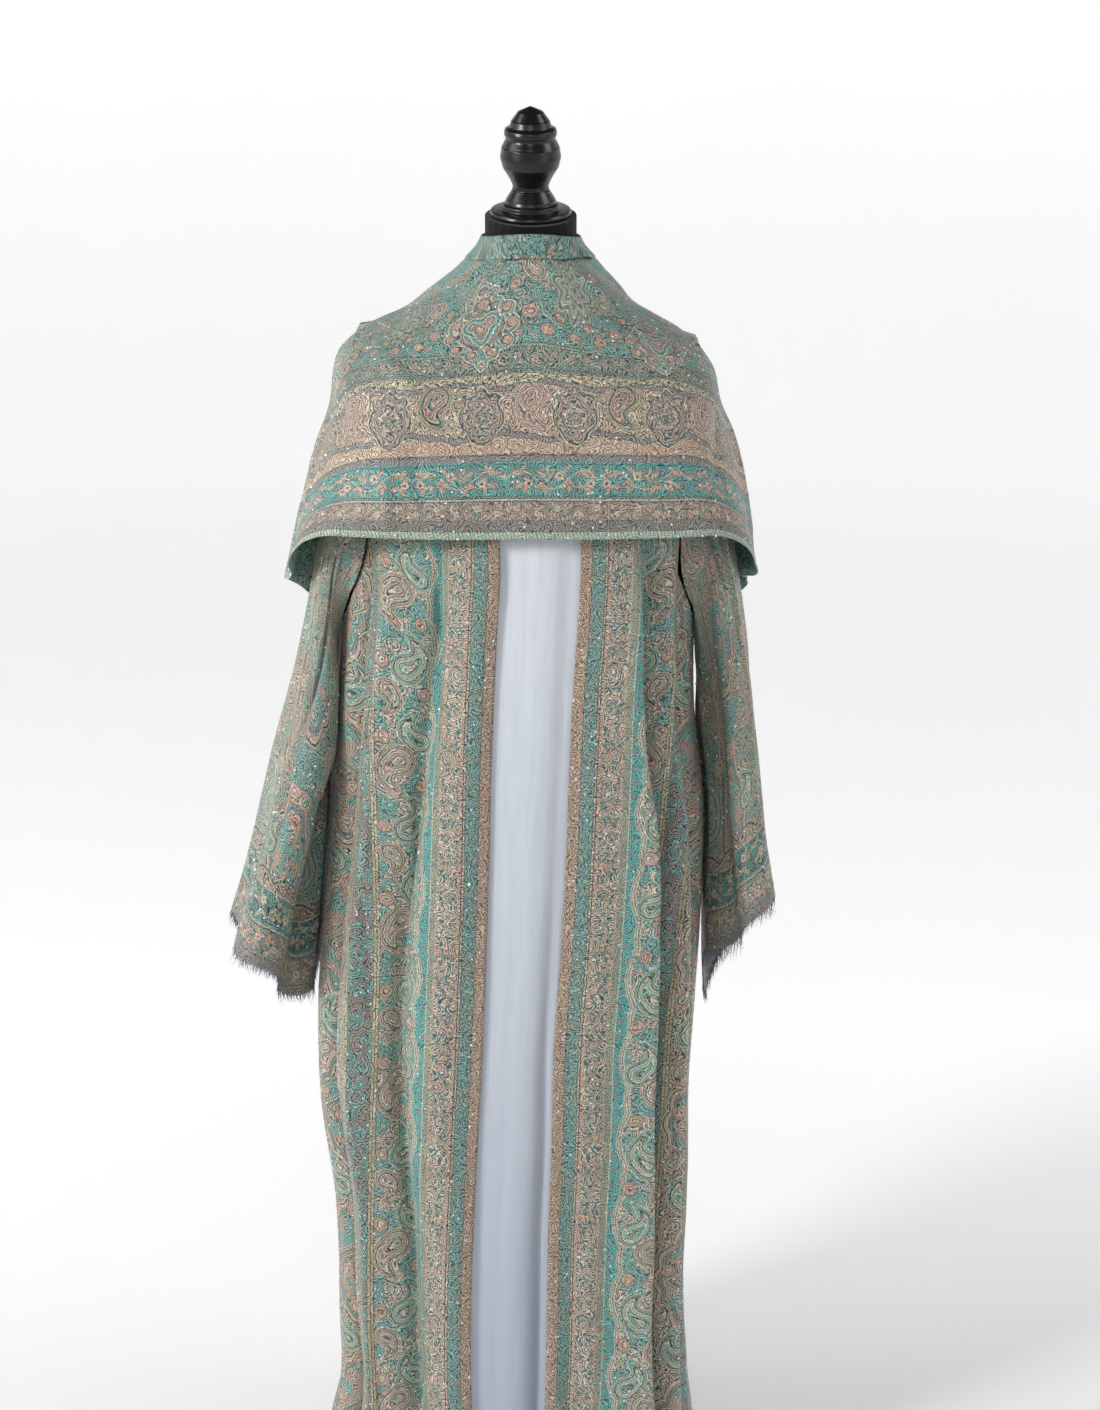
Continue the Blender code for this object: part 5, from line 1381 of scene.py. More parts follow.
def body_dye():
    """The body's lanes, from their grounds up to the botehs."""
    recipe = Recipe("jacquard body")
    s, t, place = recipe.chart()
    lane = LANE_MIRROR - abs(LANE_MIRROR - abs(s))
    drops, flowers, frames, tongues, border, tone = recipe.marks("drops flowers frames tongues border tone")
    grain = threads(recipe, s, t)
    ground, first, second, dot = banded(recipe, lane, LANES, LANE_MIRROR + 0.002)
    # the ground of every lane, its hair lines and its dots
    blue = border.below(0) * lane.within(0.074, 0.115)
    ground = recipe.mix(blue, ground, TURQUOISE)
    lines = hatch(recipe, place, drops.least(flowers).least(frames))
    strand = strands(recipe, place, first, second)
    colour = recipe.mix(lines * (1 - blue * 0.75), ground, strand)
    plain = lane.within(0.064, 0.086).most(blue)
    colour = recipe.mix(plain, dots(recipe, place, colour, LEAVES, dot, ground, LEAF_SIZE), colour)
    # the selvage is speckled thread by thread
    speckled = lane.below(0.014)
    colour = recipe.mix(speckled * grain.above(0.6), colour, SALMON)
    colour = recipe.mix(speckled * grain.below(0.16), colour, OLIVE)
    ribs = ((t * (1 / RIB)) % 1).below(0.5) * lane.within(0.064, 0.0735)
    colour = recipe.mix(ribs * 0.5, colour, OLIVE)
    # the sprigged lane, the salmon scroll, the turquoise stripe and the dark filler
    colour = scrolls(recipe, colour, lane, [t], LANE_SCROLLS[:2])
    bloom, _ = buds(lane - 0.0795, t, 0.04, 0.0012, 0.003)
    colour = recipe.mix(bloom * blue, colour, SMOKE)
    colour = scrolls(recipe, colour, lane, [t], LANE_SCROLLS[2:])
    colour = hair_lines(recipe, colour, lane, LANE_LINES)
    edge = recipe.steps(border, SCALLOP_BANDS, -0.002, 0.008)
    colour = recipe.mix(border.within(-0.0016, 0.0064) * lane.within(0.075, 0.12), colour, edge)
    # frames and tongues on the salmon lane, then botehs and rosettes over all
    framed = outlined(recipe, colour, frames, FRAME_BANDS, 0.003)
    framed = recipe.mix(lines * frames.below(-0.0128), framed, strands(recipe, place, SALMON, LAGOON))
    framed = outlined(recipe, framed, tongues, TONGUE_BANDS, 0.0016)
    colour = recipe.mix(lane.above(0.198), colour, framed)
    open_field = (border.above(0) * lane.below(0.16) + lane.above(0.206)).least(1)
    return recipe, figured(recipe, colour, open_field, drops, flowers, tone), lines, grain


def woven(recipe, colour, lines, grain):
    """Give a figured colour pale hair lines over dark gaps, the threads' grain, sheen and relief."""
    colour = recipe.mix(lines * 0.28, colour, CREAM)
    dark = recipe.mix(0.85, colour, SHADE, "MULTIPLY")
    colour = recipe.mix(grain * 0.34 + (1 - lines) * 0.5, colour, dark)
    roughness = 0.58 - lines * 0.12
    height = lines * 0.6 + grain * 0.7
    return recipe.finish(colour, roughness, height, 0.00035, sheen=0.12, specular=0.4)


body_jacquard = woven(*body_dye())


# %% [markdown]
# The wrap's bands run along its hem. Measured up from it: a ticked edge, grey herringbone,
# salmon sprigs, a turquoise scroll, plain grey, a salmon zigzag, the medallions, a cream vine,
# a mottled olive band and the dark field above, with its palmettes.

# %% Dye the wrap
BANDS = [
    (0, CREAM, REED, REED, LAGOON),
    (9, SMOKE, SEA_GREY, SMOKE, REED),
    (22, SMOKE, SEA_GREY, CLAY, CLAY),
    (44, SEA_GREY, SMOKE, SEA_GREY, SEA_GREY),
    (50, TURQUOISE, LAGOON, DEEP_TEAL, DEEP_TEAL),
    (87, SMOKE, SEA_GREY, SMOKE, SMOKE),
    (98, CLAY, SALMON, BLUSH, STRAW),
    (117, CLAY, SALMON, BLUSH, TEAL),
    (176, STRAW, BLUSH, CREAM, OLIVE),
    (190, SEA_GREY, SLATE, SEA_GREY, SEA_GREY),
    (195, PEWTER, SEA_GREY, REED, DEEP_TEAL),
    (221.5, REED, SEA_GREY, REED, REED),
    (224.5, TEAL, LAGOON, SEA_GREY, SALMON),
    (247, SEA_GREY, LAGOON, REED, TEAL),
    (376, TURQUOISE, LAGOON, REED, BLUSH),
]
MEDALLION_BANDS = bands((-36, CLAY), (-14, SALMON), (-11.8, BLUSH), (-10.4, SMOKE), (-8.6, TEAL),
                        (-7.4, SMOKE), (-4.6, SEA_GREY), (-3.8, SMOKE), (-1.2, DEEP_TEAL),
                        (0.2, CREAM))
PALMETTE_BANDS = bands((-36, SEA_GREY), (-12.5, TEAL), (-11.2, SALMON), (-10, SMOKE),
                       (-6.4, DEEP_TEAL), (-5.2, BLUSH), (-3.8, SEA_GREY), (-2.6, TURQUOISE),
                       (-1.2, BLUSH), (0.6, DEEP_TEAL))
BOWL_BANDS = bands((-36, SMOKE), (-10, SALMON), (-8.8, SMOKE), (-6, BLUSH), (-4.8, LAGOON),
                   (-3, DEEP_TEAL), (-1.8, LAGOON), (0, CREAM))
PEACH_DROP = rings([BLUSH, SMOKE, SALMON, SMOKE], 0.0052, 0.0014, 12)
STRAW_DROP = bands((-36, SMOKE), (-9.5, SALMON), (-8.2, TEAL), (-6.8, SALMON), (-5.5, SMOKE),
                   (-4, SALMON), (-2.2, DEEP_TEAL), (0.2, STRAW), (1.8, SMOKE), (3, STRAW))
BAND_LINES = [
    (9.2, 1, DEEP_TEAL), (22.2, 0.8, SLATE), (44, 0.9, DEEP_TEAL),
    (46.2, 1.4, CREAM), (48, 0.9, DEEP_TEAL), (50.2, 1, DEEP_TEAL),
    (86.8, 1, DEEP_TEAL), (89, 0.8, TURQUOISE), (96.5, 0.8, DEEP_TEAL),
    (98, 1, SLATE), (190.2, 1, DEEP_TEAL), (192.2, 1, SLATE),
    (194.8, 1, DEEP_TEAL), (221.2, 1, DEEP_TEAL), (222.8, 1.6, REED),
    (225, 1.2, DEEP_TEAL), (246.2, 1.2, BARK), (376.5, 1.4, REED),
]
BAND_SCROLLS = [  # the second run turns back at each medallion
    (0, 33, 22.5, 43.5, 46, 11.5, PEWTER, SALMON, BLUSH, TURQUOISE),
    (1, 69, 51, 86.5, 71, 17, CREAM, SALMON, BLUSH, DEEP_TEAL),
    (0, 208.5, 196, 221, 40, 11.5, SALMON, SEA_GREY, SALMON, DEEP_TEAL),
    (0, 235.5, 225.5, 245.5, 36, 10, LAGOON, LAGOON, SALMON, BARK),
    (1, 262, 249, 275, 62, 13, BLUSH, TEAL, CLAY, CREAM),
    (1, 300, 285, 315, 52, 15, BLUSH, TEAL, CLAY, CREAM),
    (1, 346, 331, 361, 70, 15, BLUSH, TEAL, CLAY, CREAM),
    (0, 393, 378, 409, 44, 15, REED, SALMON, BLUSH, BARK),
]
TICK, BONE_STEP, BONE_RISE = 0.0042, 0.008, 0.0028  # the ticked edge's and the herringbone's repeats
ZIGZAG_STEP, ZIGZAG_RISE = 0.009, 0.0045  # the zigzag's, round and up


def wrap_ground(recipe, u, v, place, motif, tone):
    """The bands' grounds with their hair lines, dots, ticks, herringbone and zigzag."""
    row = v.within(0.115, 0.178)
    ground, first, second, dot = banded(recipe, v, BANDS, 0.412)
    lines = hatch(recipe, place, motif)
    strand = strands(recipe, place, recipe.mix(row * tone.above(0.5), first, STRAW), second)
    plain = v.within(0.087, 0.098).most(v.within(0, 0.022)).most(v.within(0.044, 0.05))
    colour = recipe.mix(lines * (1 - plain) * (1 - v.within(0.05, 0.087) * 0.6), ground, strand)
    colour = recipe.mix(plain, dots(recipe, place, colour, LEAVES, dot, ground, LEAF_SIZE), colour)
    ticks = abs((u * (1 / TICK) + v * 60) % 1 - 0.5).below(0.2) * v.below(0.009)
    colour = recipe.mix(ticks, colour, LAGOON)
    bones = ((abs((u * (1 / BONE_STEP)) % 1 - 0.5) * 2.4 + v * (1 / BONE_RISE)) % 1).below(0.45)
    colour = recipe.mix(bones * v.within(0.009, 0.022), colour, PEWTER)
    zigzag = ((u * (1 / ZIGZAG_STEP)) % 1 - 0.5) * 1.6 + (v * (1 / ZIGZAG_RISE)) % 1 - 0.5
    zigzag = abs(zigzag).below(0.28)
    return recipe.mix(zigzag * v.within(0.098, 0.116) * 0.7, colour, BLUSH), lines


def wrap_scrolls(recipe, colour, u, v):
    """The running scrolls of the bands, and the wavy edges of the medallions' row."""
    side = abs((u - (MEDALLION_AT + 0.0266)) % (2 * MEDALLION_STEP) - MEDALLION_STEP)
    colour = scrolls(recipe, colour, v, [u, side], BAND_SCROLLS[:1])
    sprig = sprigs(v - 0.069, side + 0.012, 0.029, 0.016) * v.within(0.051, 0.0865)
    colour = scrolls(recipe, recipe.mix(sprig, colour, SMOKE), v, [u, side], BAND_SCROLLS[1:])
    wave = (u * (2 * math.pi / MEDALLION_STEP) + 3.37).sine()
    waves = (u * (6 * math.pi / MEDALLION_STEP) + 1.2).sine()
    for edge in (v - 0.1185 - wave * 0.0035 - waves * 0.0012, v - 0.1765 + wave * 0.003 + waves * 0.0012):
        colour = recipe.mix(abs(edge).below(0.0036), colour, DEEP_TEAL)
        colour = recipe.mix(abs(edge).below(0.0026), colour, SMOKE)
    x, y = alternate(v - 0.184, u, 0.013)
    dashes = leaf(x, y, 0.002, 0, 55, 0.0032, 0.0011) * v.within(0.178, 0.19)
    return hair_lines(recipe, recipe.mix(dashes, colour, DEEP_TEAL), v, BAND_LINES)


def wrap_dye():
    """The wrap's bands, the row of medallions, and the palmettes of the field."""
    recipe = Recipe("jacquard wrap")
    u, v, place = recipe.chart()
    drops, flowers, tone, frames = recipe.marks("drops flowers tone frames")
    bowls, medallions, stars = recipe.marks("bowls medallions stars")
    grain = threads(recipe, u, v)
    motif = drops.least(flowers).least(frames).least(medallions).least(stars)
    colour, lines = wrap_ground(recipe, u, v, place, motif, tone)
    colour = wrap_scrolls(recipe, colour, u, v)
    # medallions and botehs in their row
    row = v.within(0.115, 0.178)
    drop = recipe.mix(tone.above(0.5), recipe.steps(drops, PEACH_DROP, DEEP, 0.008),
                      recipe.steps(drops, STRAW_DROP, DEEP, 0.008))
    colour = recipe.mix(row * drops.below(0.0048), colour, drop)
    medallion = outlined(recipe, colour, medallions, MEDALLION_BANDS, 0.0012)
    middle = medallions.below(-0.0088) * v.within(0.122, 0.152)
    medallion = recipe.mix(middle * recipe.cells(place, 230).below(0.34), medallion, TEAL)
    medallion = recipe.mix(lines * medallions.within(-0.009, -0.0014) * 0.5, medallion, SALMON)
    colour = recipe.mix(v.within(0.1, 0.19), colour, medallion)
    # palmettes, their bowls, the star and the spirals
    large = outlined(recipe, colour, frames, PALMETTE_BANDS, 0.002)
    large = outlined(recipe, large, bowls, BOWL_BANDS, 0.0014)
    large = recipe.mix(lines * frames.below(-0.012) * bowls.above(0.0014), large, TURQUOISE)
    large = recipe.mix(lines * bowls.below(-0.01), large, SALMON)
    large = outlined(recipe, large, stars, STAR_RINGS, 0.0026)
    spirals = recipe.mix(drops.below(0.0026), large, recipe.steps(drops, WARM_RINGS, DEEP, CLEAR))
    rosettes = recipe.steps(flowers, ROSETTE_BANDS, DEEP, CLEAR)
    colour = recipe.mix(v.above(0.192), colour, recipe.mix(flowers.below(0.0012), spirals, rosettes))
    return recipe, colour, lines, grain


wrap_jacquard = woven(*wrap_dye())

# %% [markdown]
# The sleeves are cut so that the shawl's end borders meet the cuff: a plain grey edge, flowers on
# grey, a dark teal scroll and a salmon scallop. Above them large botehs fill the cloth.

# %% Dye the sleeves
CUFF_BANDS = [
    (0, SMOKE, SLATE, SMOKE, SMOKE),
    (14, SEA_GREY, SMOKE, REED, DEEP_TEAL),
    (50, SMOKE, SEA_GREY, SMOKE, SMOKE),
    (56, DEEP_TEAL, TURQUOISE, DEEP_TEAL, SEA_GREY),
    (98, PEWTER, SALMON, BLUSH, TEAL),
    (122, SEA_GREY, REED, SALMON, TEAL),
]
CUFF_LINES = [
    (14, 1, DEEP_TEAL), (15.5, 1.2, REED), (50, 1.2, DEEP_TEAL), (53, 1.4, CREAM),
    (56, 1.2, TURQUOISE), (97.8, 1.4, CREAM), (121.5, 1.2, STRAW),
]
CUFF_SCROLLS = [
    (0, 32.5, 16, 49, 50, 16.5, PEWTER, SALMON, BLUSH, MAUVE),
    (0, 77.5, 57, 97.5, 78, 20, CREAM, STRAW, BLUSH, TURQUOISE),
]
LENGTHWISE_LINES = [(-8, 1.2, BARK), (-6, 2.6, CREAM), (-3, 1, BARK),
                    (0, 3.6, MAUVE), (3, 1, BARK), (6, 2.6, CREAM), (8, 1.2, BARK)]


def sleeve_dye():
    """The cuff's borders, and the lanes and botehs above them."""
    recipe = Recipe("jacquard sleeve")
    u, v, place = recipe.chart()
    drops, flowers, tone, frames = recipe.marks("drops flowers tone frames")
    grain = threads(recipe, u, v)
    lines = hatch(recipe, place, drops.least(flowers).least(frames))
    ground, first, second, dot = banded(recipe, v, CUFF_BANDS, 0.14)
    inner = v.above(0.12)
    patch = recipe.noise(place, 8).above(0.52) * inner
    strand = recipe.mix(patch * 0.8, strands(recipe, place, first, second), LAGOON)
    colour = recipe.mix(lines * v.above(0.014), recipe.mix(patch * 0.5, ground, SEA_GREY), strand)
    colour = recipe.mix(v.above(0.014), colour, dots(recipe, place, colour, LEAVES, dot, ground, LEAF_SIZE))
    colour = scrolls(recipe, colour, v, [u], CUFF_SCROLLS)
    scallop = v - 0.108 - abs((u * (math.pi / 0.046)).sine()) * 0.012
    colour = recipe.mix(abs(scallop).below(0.0034), colour, BLUSH)
    colour = recipe.mix(abs(scallop).below(0.0022), colour, DEEP_TEAL)
    colour = hair_lines(recipe, colour, v, CUFF_LINES)
    lane = u % SLEEVE_LANE - SLEEVE_LANE * 0.47
    colour = recipe.mix(inner, colour, hair_lines(recipe, colour, lane, LENGTHWISE_LINES))
    colour = recipe.mix(inner, colour, outlined(recipe, colour, frames, FRAME_BANDS, 0.003))
    filled = strands(recipe, place, SALMON, LAGOON)
    colour = recipe.mix(inner * lines * frames.below(-0.0128), colour, filled)
    return recipe, figured(recipe, colour, inner, drops, flowers, tone), lines, grain


sleeve_jacquard = woven(*sleeve_dye())

# %% [markdown]
# The jacquard's other side shows only as floats: the figure blurs into dull stripes. The wrap is
# woven with a face on both sides, as its turned-down neck shows. The crepe is a plain weave of
# hard-twisted yarn, so its surface is a fine crinkle with no shine.

# %% Dye the cloth's reverse and the crepe


def reverse_dye():
    """Floats in patches, with a little of the figure's yarn between them."""
    recipe = Recipe("jacquard reverse")
    s, t, place = recipe.chart()
    grain = threads(recipe, s, t)
    floats = recipe.noise(recipe.at(s * 3, t), 210, 2).above(0.5)
    colour = recipe.mix(floats, SLATE, PEWTER)
    colour = recipe.mix(recipe.noise(place, 34, 2).above(0.56), colour, SMOKE)
    return woven(recipe, colour, floats, grain)


def neck_dye():
    """The wrap's other face: turquoise and grey-green, strewn with salmon flowers."""
    recipe = Recipe("jacquard wrap reverse")
    u, v, place = recipe.chart()
    grain = threads(recipe, u, v)
    lines = hatch(recipe, place, *recipe.marks("flowers"))
    ground = recipe.mix(recipe.noise(place, 26, 1).above(0.5), LAGOON, SEA_GREY)
    strand = strands(recipe, place, REED, TURQUOISE)
    colour = dots(recipe, place, recipe.mix(lines, ground, strand), 150, DEEP_TEAL, SEA_GREY)
    colour = scroll_lane(recipe, colour, v - 0.388, u, v.above(0.37), 0.038, 0.015,
                         REED, DEEP_TEAL, SALMON, BARK)
    return woven(recipe, colour, lines, grain)


def crepe_dye():
    """Pale crepe with faint lengthwise streaks, and painted shade that makes it a little darker down its
    length.
    """
    recipe = Recipe("plain crepe")
    s, t, _ = recipe.chart()
    streaks = recipe.noise(recipe.at(s * 14, t), 9, 3)
    crinkle = recipe.noise(recipe.at(s * 2.2, t), 900, 2)
    # painted shade: lighter at the top and darker towards the hem, as where light falls from above
    tones = [(0.3, dye(226, 232, 237)), (0.8, dye(210, 216, 225)), (1.57, dye(172, 180, 194))]
    painted_shade_down = recipe.steps(t, tones, 0, 1.6, True)
    colour = recipe.mix(streaks * 0.3, painted_shade_down, dye(160, 168, 184))
    return recipe.finish(colour, 0.86, crinkle + streaks * 2, 0.00025, sheen=0.05, specular=0.25)


reverse, neck, crepe = reverse_dye(), neck_dye(), crepe_dye()
for name, piece in pieces.items():
    face, other = body_jacquard, reverse
    if name.startswith("sleeve"):
        face = sleeve_jacquard
    elif name == "shoulder_wrap":
        face, other = wrap_jacquard, neck
    elif name == "inner_panel":
        face, other = crepe, crepe
    piece.data.materials.append(face)
    piece.data.materials.append(other)


# %% [markdown]
# The cuffs end in frayed yarn: a thousand thin strands of uneven length that lean and curl. One
# strand is a three-sided tube that tapers to its tip. All strands of a cuff are worked out as one
# array and joined in one mesh, which is far lighter than hundreds of objects.

# %% Fray the cuffs
STRANDS, STRAND_STEPS, STRAND_RADIUS = 1000, 6, 0.00042
FRAY_SHORT, FRAY_LONG = 0.004, 0.025
STRAND_WEIGHT = 0.4  # how far a strand turns from the sleeve's own fall to straight down


def cuff_edge(name, places):
    """The cuff's edge at shares round it: a point, the way down the sleeve and the way round."""
    grid = sleeves[name][0]
    rim = np.concatenate([grid[-1], grid[-1, :1]])
    fall = np.concatenate([grid[-1] - grid[-4], (grid[-1] - grid[-4])[:1]])
    length = np.concatenate([[0], np.cumsum(np.linalg.norm(np.diff(rim, axis=0), axis=1))])
    length = length / length[-1]
    read = [np.stack([np.interp(places % 1, length, row[:, axis]) for axis in range(3)], 1)
            for row in (rim, fall)]
    ahead = np.stack([np.interp((places + 0.004) % 1, length, rim[:, axis]) for axis in range(3)], 1)
    fall = unit(read[1]) * (1 - STRAND_WEIGHT) + np.array([0, 0, -STRAND_WEIGHT])
    return read[0], unit(fall), ahead - read[0]


def tubes(centres, radius):
    """Three-sided tubes round rows of centres, closed at both ends: points and faces."""
    way = unit(np.gradient(centres, axis=1))
    side = unit(np.cross(way, [0.31, 0.87, 0.38]))
    other = np.cross(way, side)
    turn = np.arange(3) * 2 * math.pi / 3
    ring = side[:, :, None] * np.cos(turn)[:, None] + other[:, :, None] * np.sin(turn)[:, None]
    points = centres[:, :, None] + ring * radius[..., None, None]
    return points, joined_rings(*points.shape[:3])


def frayed(name, seed):
    """Strands down from the cuff's edge: each leans to one side and curls by the square of its run."""
    chance = np.random.default_rng(seed)
    places = (np.arange(STRANDS) + chance.uniform(-0.5, 0.5, STRANDS)) / STRANDS
    root, fall, around = cuff_edge(name, places)
    around = unit(around)
    out = np.cross(fall, around)
    clump = 0.5 + 0.5 * ripple(places * 40, np.zeros(STRANDS), 1, 1, seed)
    length = FRAY_SHORT + (FRAY_LONG - FRAY_SHORT) * chance.beta(1.6, 2.2, STRANDS) * (0.35 + 0.9 * clump)
    run = np.linspace(0, 1, STRAND_STEPS)[None, :, None]
    lean, curl, wander = chance.normal(0, 1, (3, STRANDS))
    length, lean = length[:, None, None], lean[:, None, None]
    bend = around[:, None] * (0.2 * lean * run + 0.28 * curl[:, None, None] * run**2)
    bend = bend + out[:, None] * (0.14 * wander[:, None, None] * run**1.5)
    centres = root[:, None] + out[:, None] * chance.uniform(-0.0004, 0.0004, (STRANDS, 1, 1))
    centres = centres + fall[:, None] * (run * length - 0.0015) + bend * length
    radius = STRAND_RADIUS * (1 - 0.7 * run[..., 0]) * chance.uniform(0.7, 1.2, (STRANDS, 1))
    points, faces = tubes(centres, radius)
    print(f"fringe {name}: {STRANDS} strands, {len(faces)} faces")
    return new_piece(f"fringe_{name}", points, faces)


def yarn_dye():
    """Dark grey yarn, unevenly dyed."""
    recipe = Recipe("frayed yarn")
    cloud = recipe.cloud(recipe.space(), 300, 2)
    colour = recipe.mix(cloud, dye(70, 74, 84), dye(142, 144, 156))
    return recipe.finish(colour, 0.8, cloud, 0.0003, sheen=0.1, specular=0.3)


yarn = yarn_dye()
fringes = {}
for name, seed in (("left", 501), ("right", 502)):
    fringes["sleeve_" + name] = frayed(name, seed)
    fringes["sleeve_" + name].data.materials.append(yarn)


# %% [markdown]
# Tiny stones are strewn over the jacquard, about nine hundred to a square metre. Each is a
# six-sided dome of fourteen faces, set on the cloth's outer face where a random draw with a fixed
# seed puts it, so that every run strews them alike.

# %% Strew the stones
STONES_PER_AREA = 900
STONE_RADIUS, STONE_HEIGHT = 0.0014, 0.0009


def strewn(grid, out, lift, seed):
    """Points and ways out on a grid, spread evenly by area: a face is drawn by its share of it."""
    one, two = grid[1:, 1:] - grid[:-1, :-1], grid[1:, :-1] - grid[:-1, 1:]
    share = np.linalg.norm(np.cross(one, two), axis=-1) / 2
    count = int(share.sum() * STONES_PER_AREA)
    chance = np.random.default_rng(seed)
    row, column = np.unravel_index(
        chance.choice(share.size, count, p=(share / share.sum()).ravel()), share.shape)
    a, b = chance.uniform(0, 1, (2, count, 1))

    def between(values):
        return (values[row, column] * (1 - a) * (1 - b) + values[row + 1, column] * a * (1 - b)
                + values[row, column + 1] * (1 - a) * b + values[row + 1, column + 1] * a * b)

    normal = unit(between(out))
    return between(grid) + normal * lift, normal, chance.uniform(0, math.pi, count)


def stones(name, spots):
    """Six-sided domes: a girdle, a crown that narrows, and a flat table, all on the spots."""
    places, normal, turn = [np.concatenate(part) for part in zip(*spots)]
    side = unit(np.cross(normal, [0.12, 0.33, 0.94]))
    other = np.cross(normal, side)
    angle = turn[:, None] + np.arange(6) * math.pi / 3
    ring = side[:, None] * np.cos(angle)[..., None] + other[:, None] * np.sin(angle)[..., None]
    levels = ((1, 0), (1, 0.35), (0.55, 1))
    points = np.stack([places[:, None] + ring * STONE_RADIUS * wide
                       + normal[:, None] * STONE_HEIGHT * high for wide, high in levels], 1)
    print(f"{name}: {len(places)} stones")
    return new_piece(name, points, joined_rings(*points.shape[:3]), False)


def crystal_dye():
    """Clear stones under a hard gloss, a few of them faintly blue or pink. Their near-white base colour is
    painted sparkle, standing in for the light that clear stones throw back.
    """
    recipe = Recipe("crystal")
    tint = recipe.cloud(recipe.space(), 160, 0)
    # painted sparkle: a near-white base colour in place of what clear stones reflect
    colour = recipe.mix(tint, dye(228, 246, 255), dye(255, 244, 250))
    recipe.put(recipe.shader.inputs["Coat Weight"], 1)
    return recipe.finish(colour, 0.1 + tint * 0.08, None, 0, specular=1)


STREWN = [
    # the cloths, the rows that the wrap or its turned top leaves in sight, the lift and the first seed
    ("stones_body", body.values(), BODY_DOWNS[:, 0] > 0.37, WEAVE, 701),
    ("stones_sleeves", sleeves.values(), np.arange(SLEEVE_ALONG + 1) > 24, WEAVE, 711),
    ("stones_wrap", [wrapped], WRAP_DOWNS[:, 0] > 0.04, WEAVE / 2, 721),
]
spots = {name: [strewn(cloth[0][shown], cloth[1][shown], lift, seed + number)
                for number, cloth in enumerate(cloths)]
         for name, cloths, shown, lift, seed in STREWN}
crystal = crystal_dye()
all_stones = [stones(name, rows) for name, rows in spots.items()]
for piece in all_stones:
    piece.data.materials.append(crystal)


# %% [markdown]
# The stand is plain so that the cloth is what one looks at: a torso in black jersey, a turned
# finial in black lacquer, and a powder-coated pole and foot. The finial is turned again from its
# outline, as on a lathe, in far smaller steps. The other solids keep their shapes and only take
# finer finishes.

# %% Turn the finial
FINIAL_OUTLINE = np.array([  # radius and height in millimetres
    (0, 0), (47, 0), (48, 3), (46, 6.5), (33.5, 7.5),
    (33, 13), (30, 14.5), (28.5, 19), (21.5, 30), (21, 35),
    (25, 44), (32.5, 56), (35.5, 68), (33.5, 80), (28.5, 89.5),
    (30, 92.5), (30.8, 96.5), (29.5, 100.5), (25, 102.5), (22, 110),
    (14.5, 120), (0, 126.5),
]) / 1000
FINIAL_GAP = 0.0006  # between the finial and the neck's sloping top
NECK_TOP = 1.632
NECK_LEAN = math.radians(8)  # the neck's top leans forward
TURNS, OUTLINE_STEPS = 96, 150


def turned_finial():
    """Each step of the outline becomes a ring; the whole leans forward with the neck's top."""
    steps = np.linalg.norm(np.diff(FINIAL_OUTLINE, axis=0), axis=1)
    run = np.concatenate([[0], np.cumsum(steps)])
    at = np.sort(np.concatenate([run[1:-1], np.linspace(0, run[-1], OUTLINE_STEPS)[1:-1]]))
    radius, height = np.interp(at, run, FINIAL_OUTLINE[:, 0]), np.interp(at, run, FINIAL_OUTLINE[:, 1])
    weights = np.array([0.25, 0.5, 0.25])
    for _ in range(2):
        radius[1:-1] = np.convolve(radius, weights, "valid")
    turn = np.arange(TURNS) * 2 * math.pi / TURNS
    x, y = radius[:, None] * np.cos(turn), radius[:, None] * np.sin(turn)
    z = np.broadcast_to(height[:, None], x.shape)
    cosine, sine = math.cos(NECK_LEAN), math.sin(NECK_LEAN)
    lift = NECK_TOP + FINIAL_GAP / cosine
    points = np.stack([x, y * cosine - z * sine, y * sine + z * cosine + lift], -1)
    faces = joined_rings(1, len(radius), TURNS)
    print("finial:", len(faces), "faces, widest", round(float(radius.max()) * 2000, 1), "mm")
    return new_piece("finial_turned", points, faces)


# %% Finish the form and its stand
def solid_finish(name, dark, light, scale, rough, uneven, lift, stretch=(1, 1, 1), **more):
    """A dark finish: noise in the object's own space shifts its colour, its shine and its surface."""
    recipe = Recipe(name)
    place = recipe.node("ShaderNodeMapping", {}, {"Vector": recipe.space(), "Scale": stretch})
    cloud = recipe.cloud(place, scale, 3)
    return recipe.finish(recipe.mix(cloud, dark, light), rough + cloud * uneven, cloud, lift, **more)


finial = turned_finial()
JERSEY = solid_finish("black jersey", dye(10, 10, 11), dye(26, 26, 28), 900, 0.82, 0.1, 0.0004,
                      (1, 1, 0.35), sheen=0.12, specular=0.2)
LACQUER = solid_finish("black lacquer", dye(9, 9, 10), dye(20, 19, 20), 14, 0.2, 0.16, 0.0002,
                       (1, 1, 6), specular=0.5)
POWDER = solid_finish("powder coat", dye(16, 16, 17), dye(32, 32, 34), 1400, 0.42, 0.12, 0.0003)
finial.data.materials.append(LACQUER)
for node, finish in (("form_torso", JERSEY), ("pole", POWDER), ("base", POWDER)):
    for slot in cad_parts[node].material_slots:
        slot.material = finish
    print(node, "finished in", finish.name)
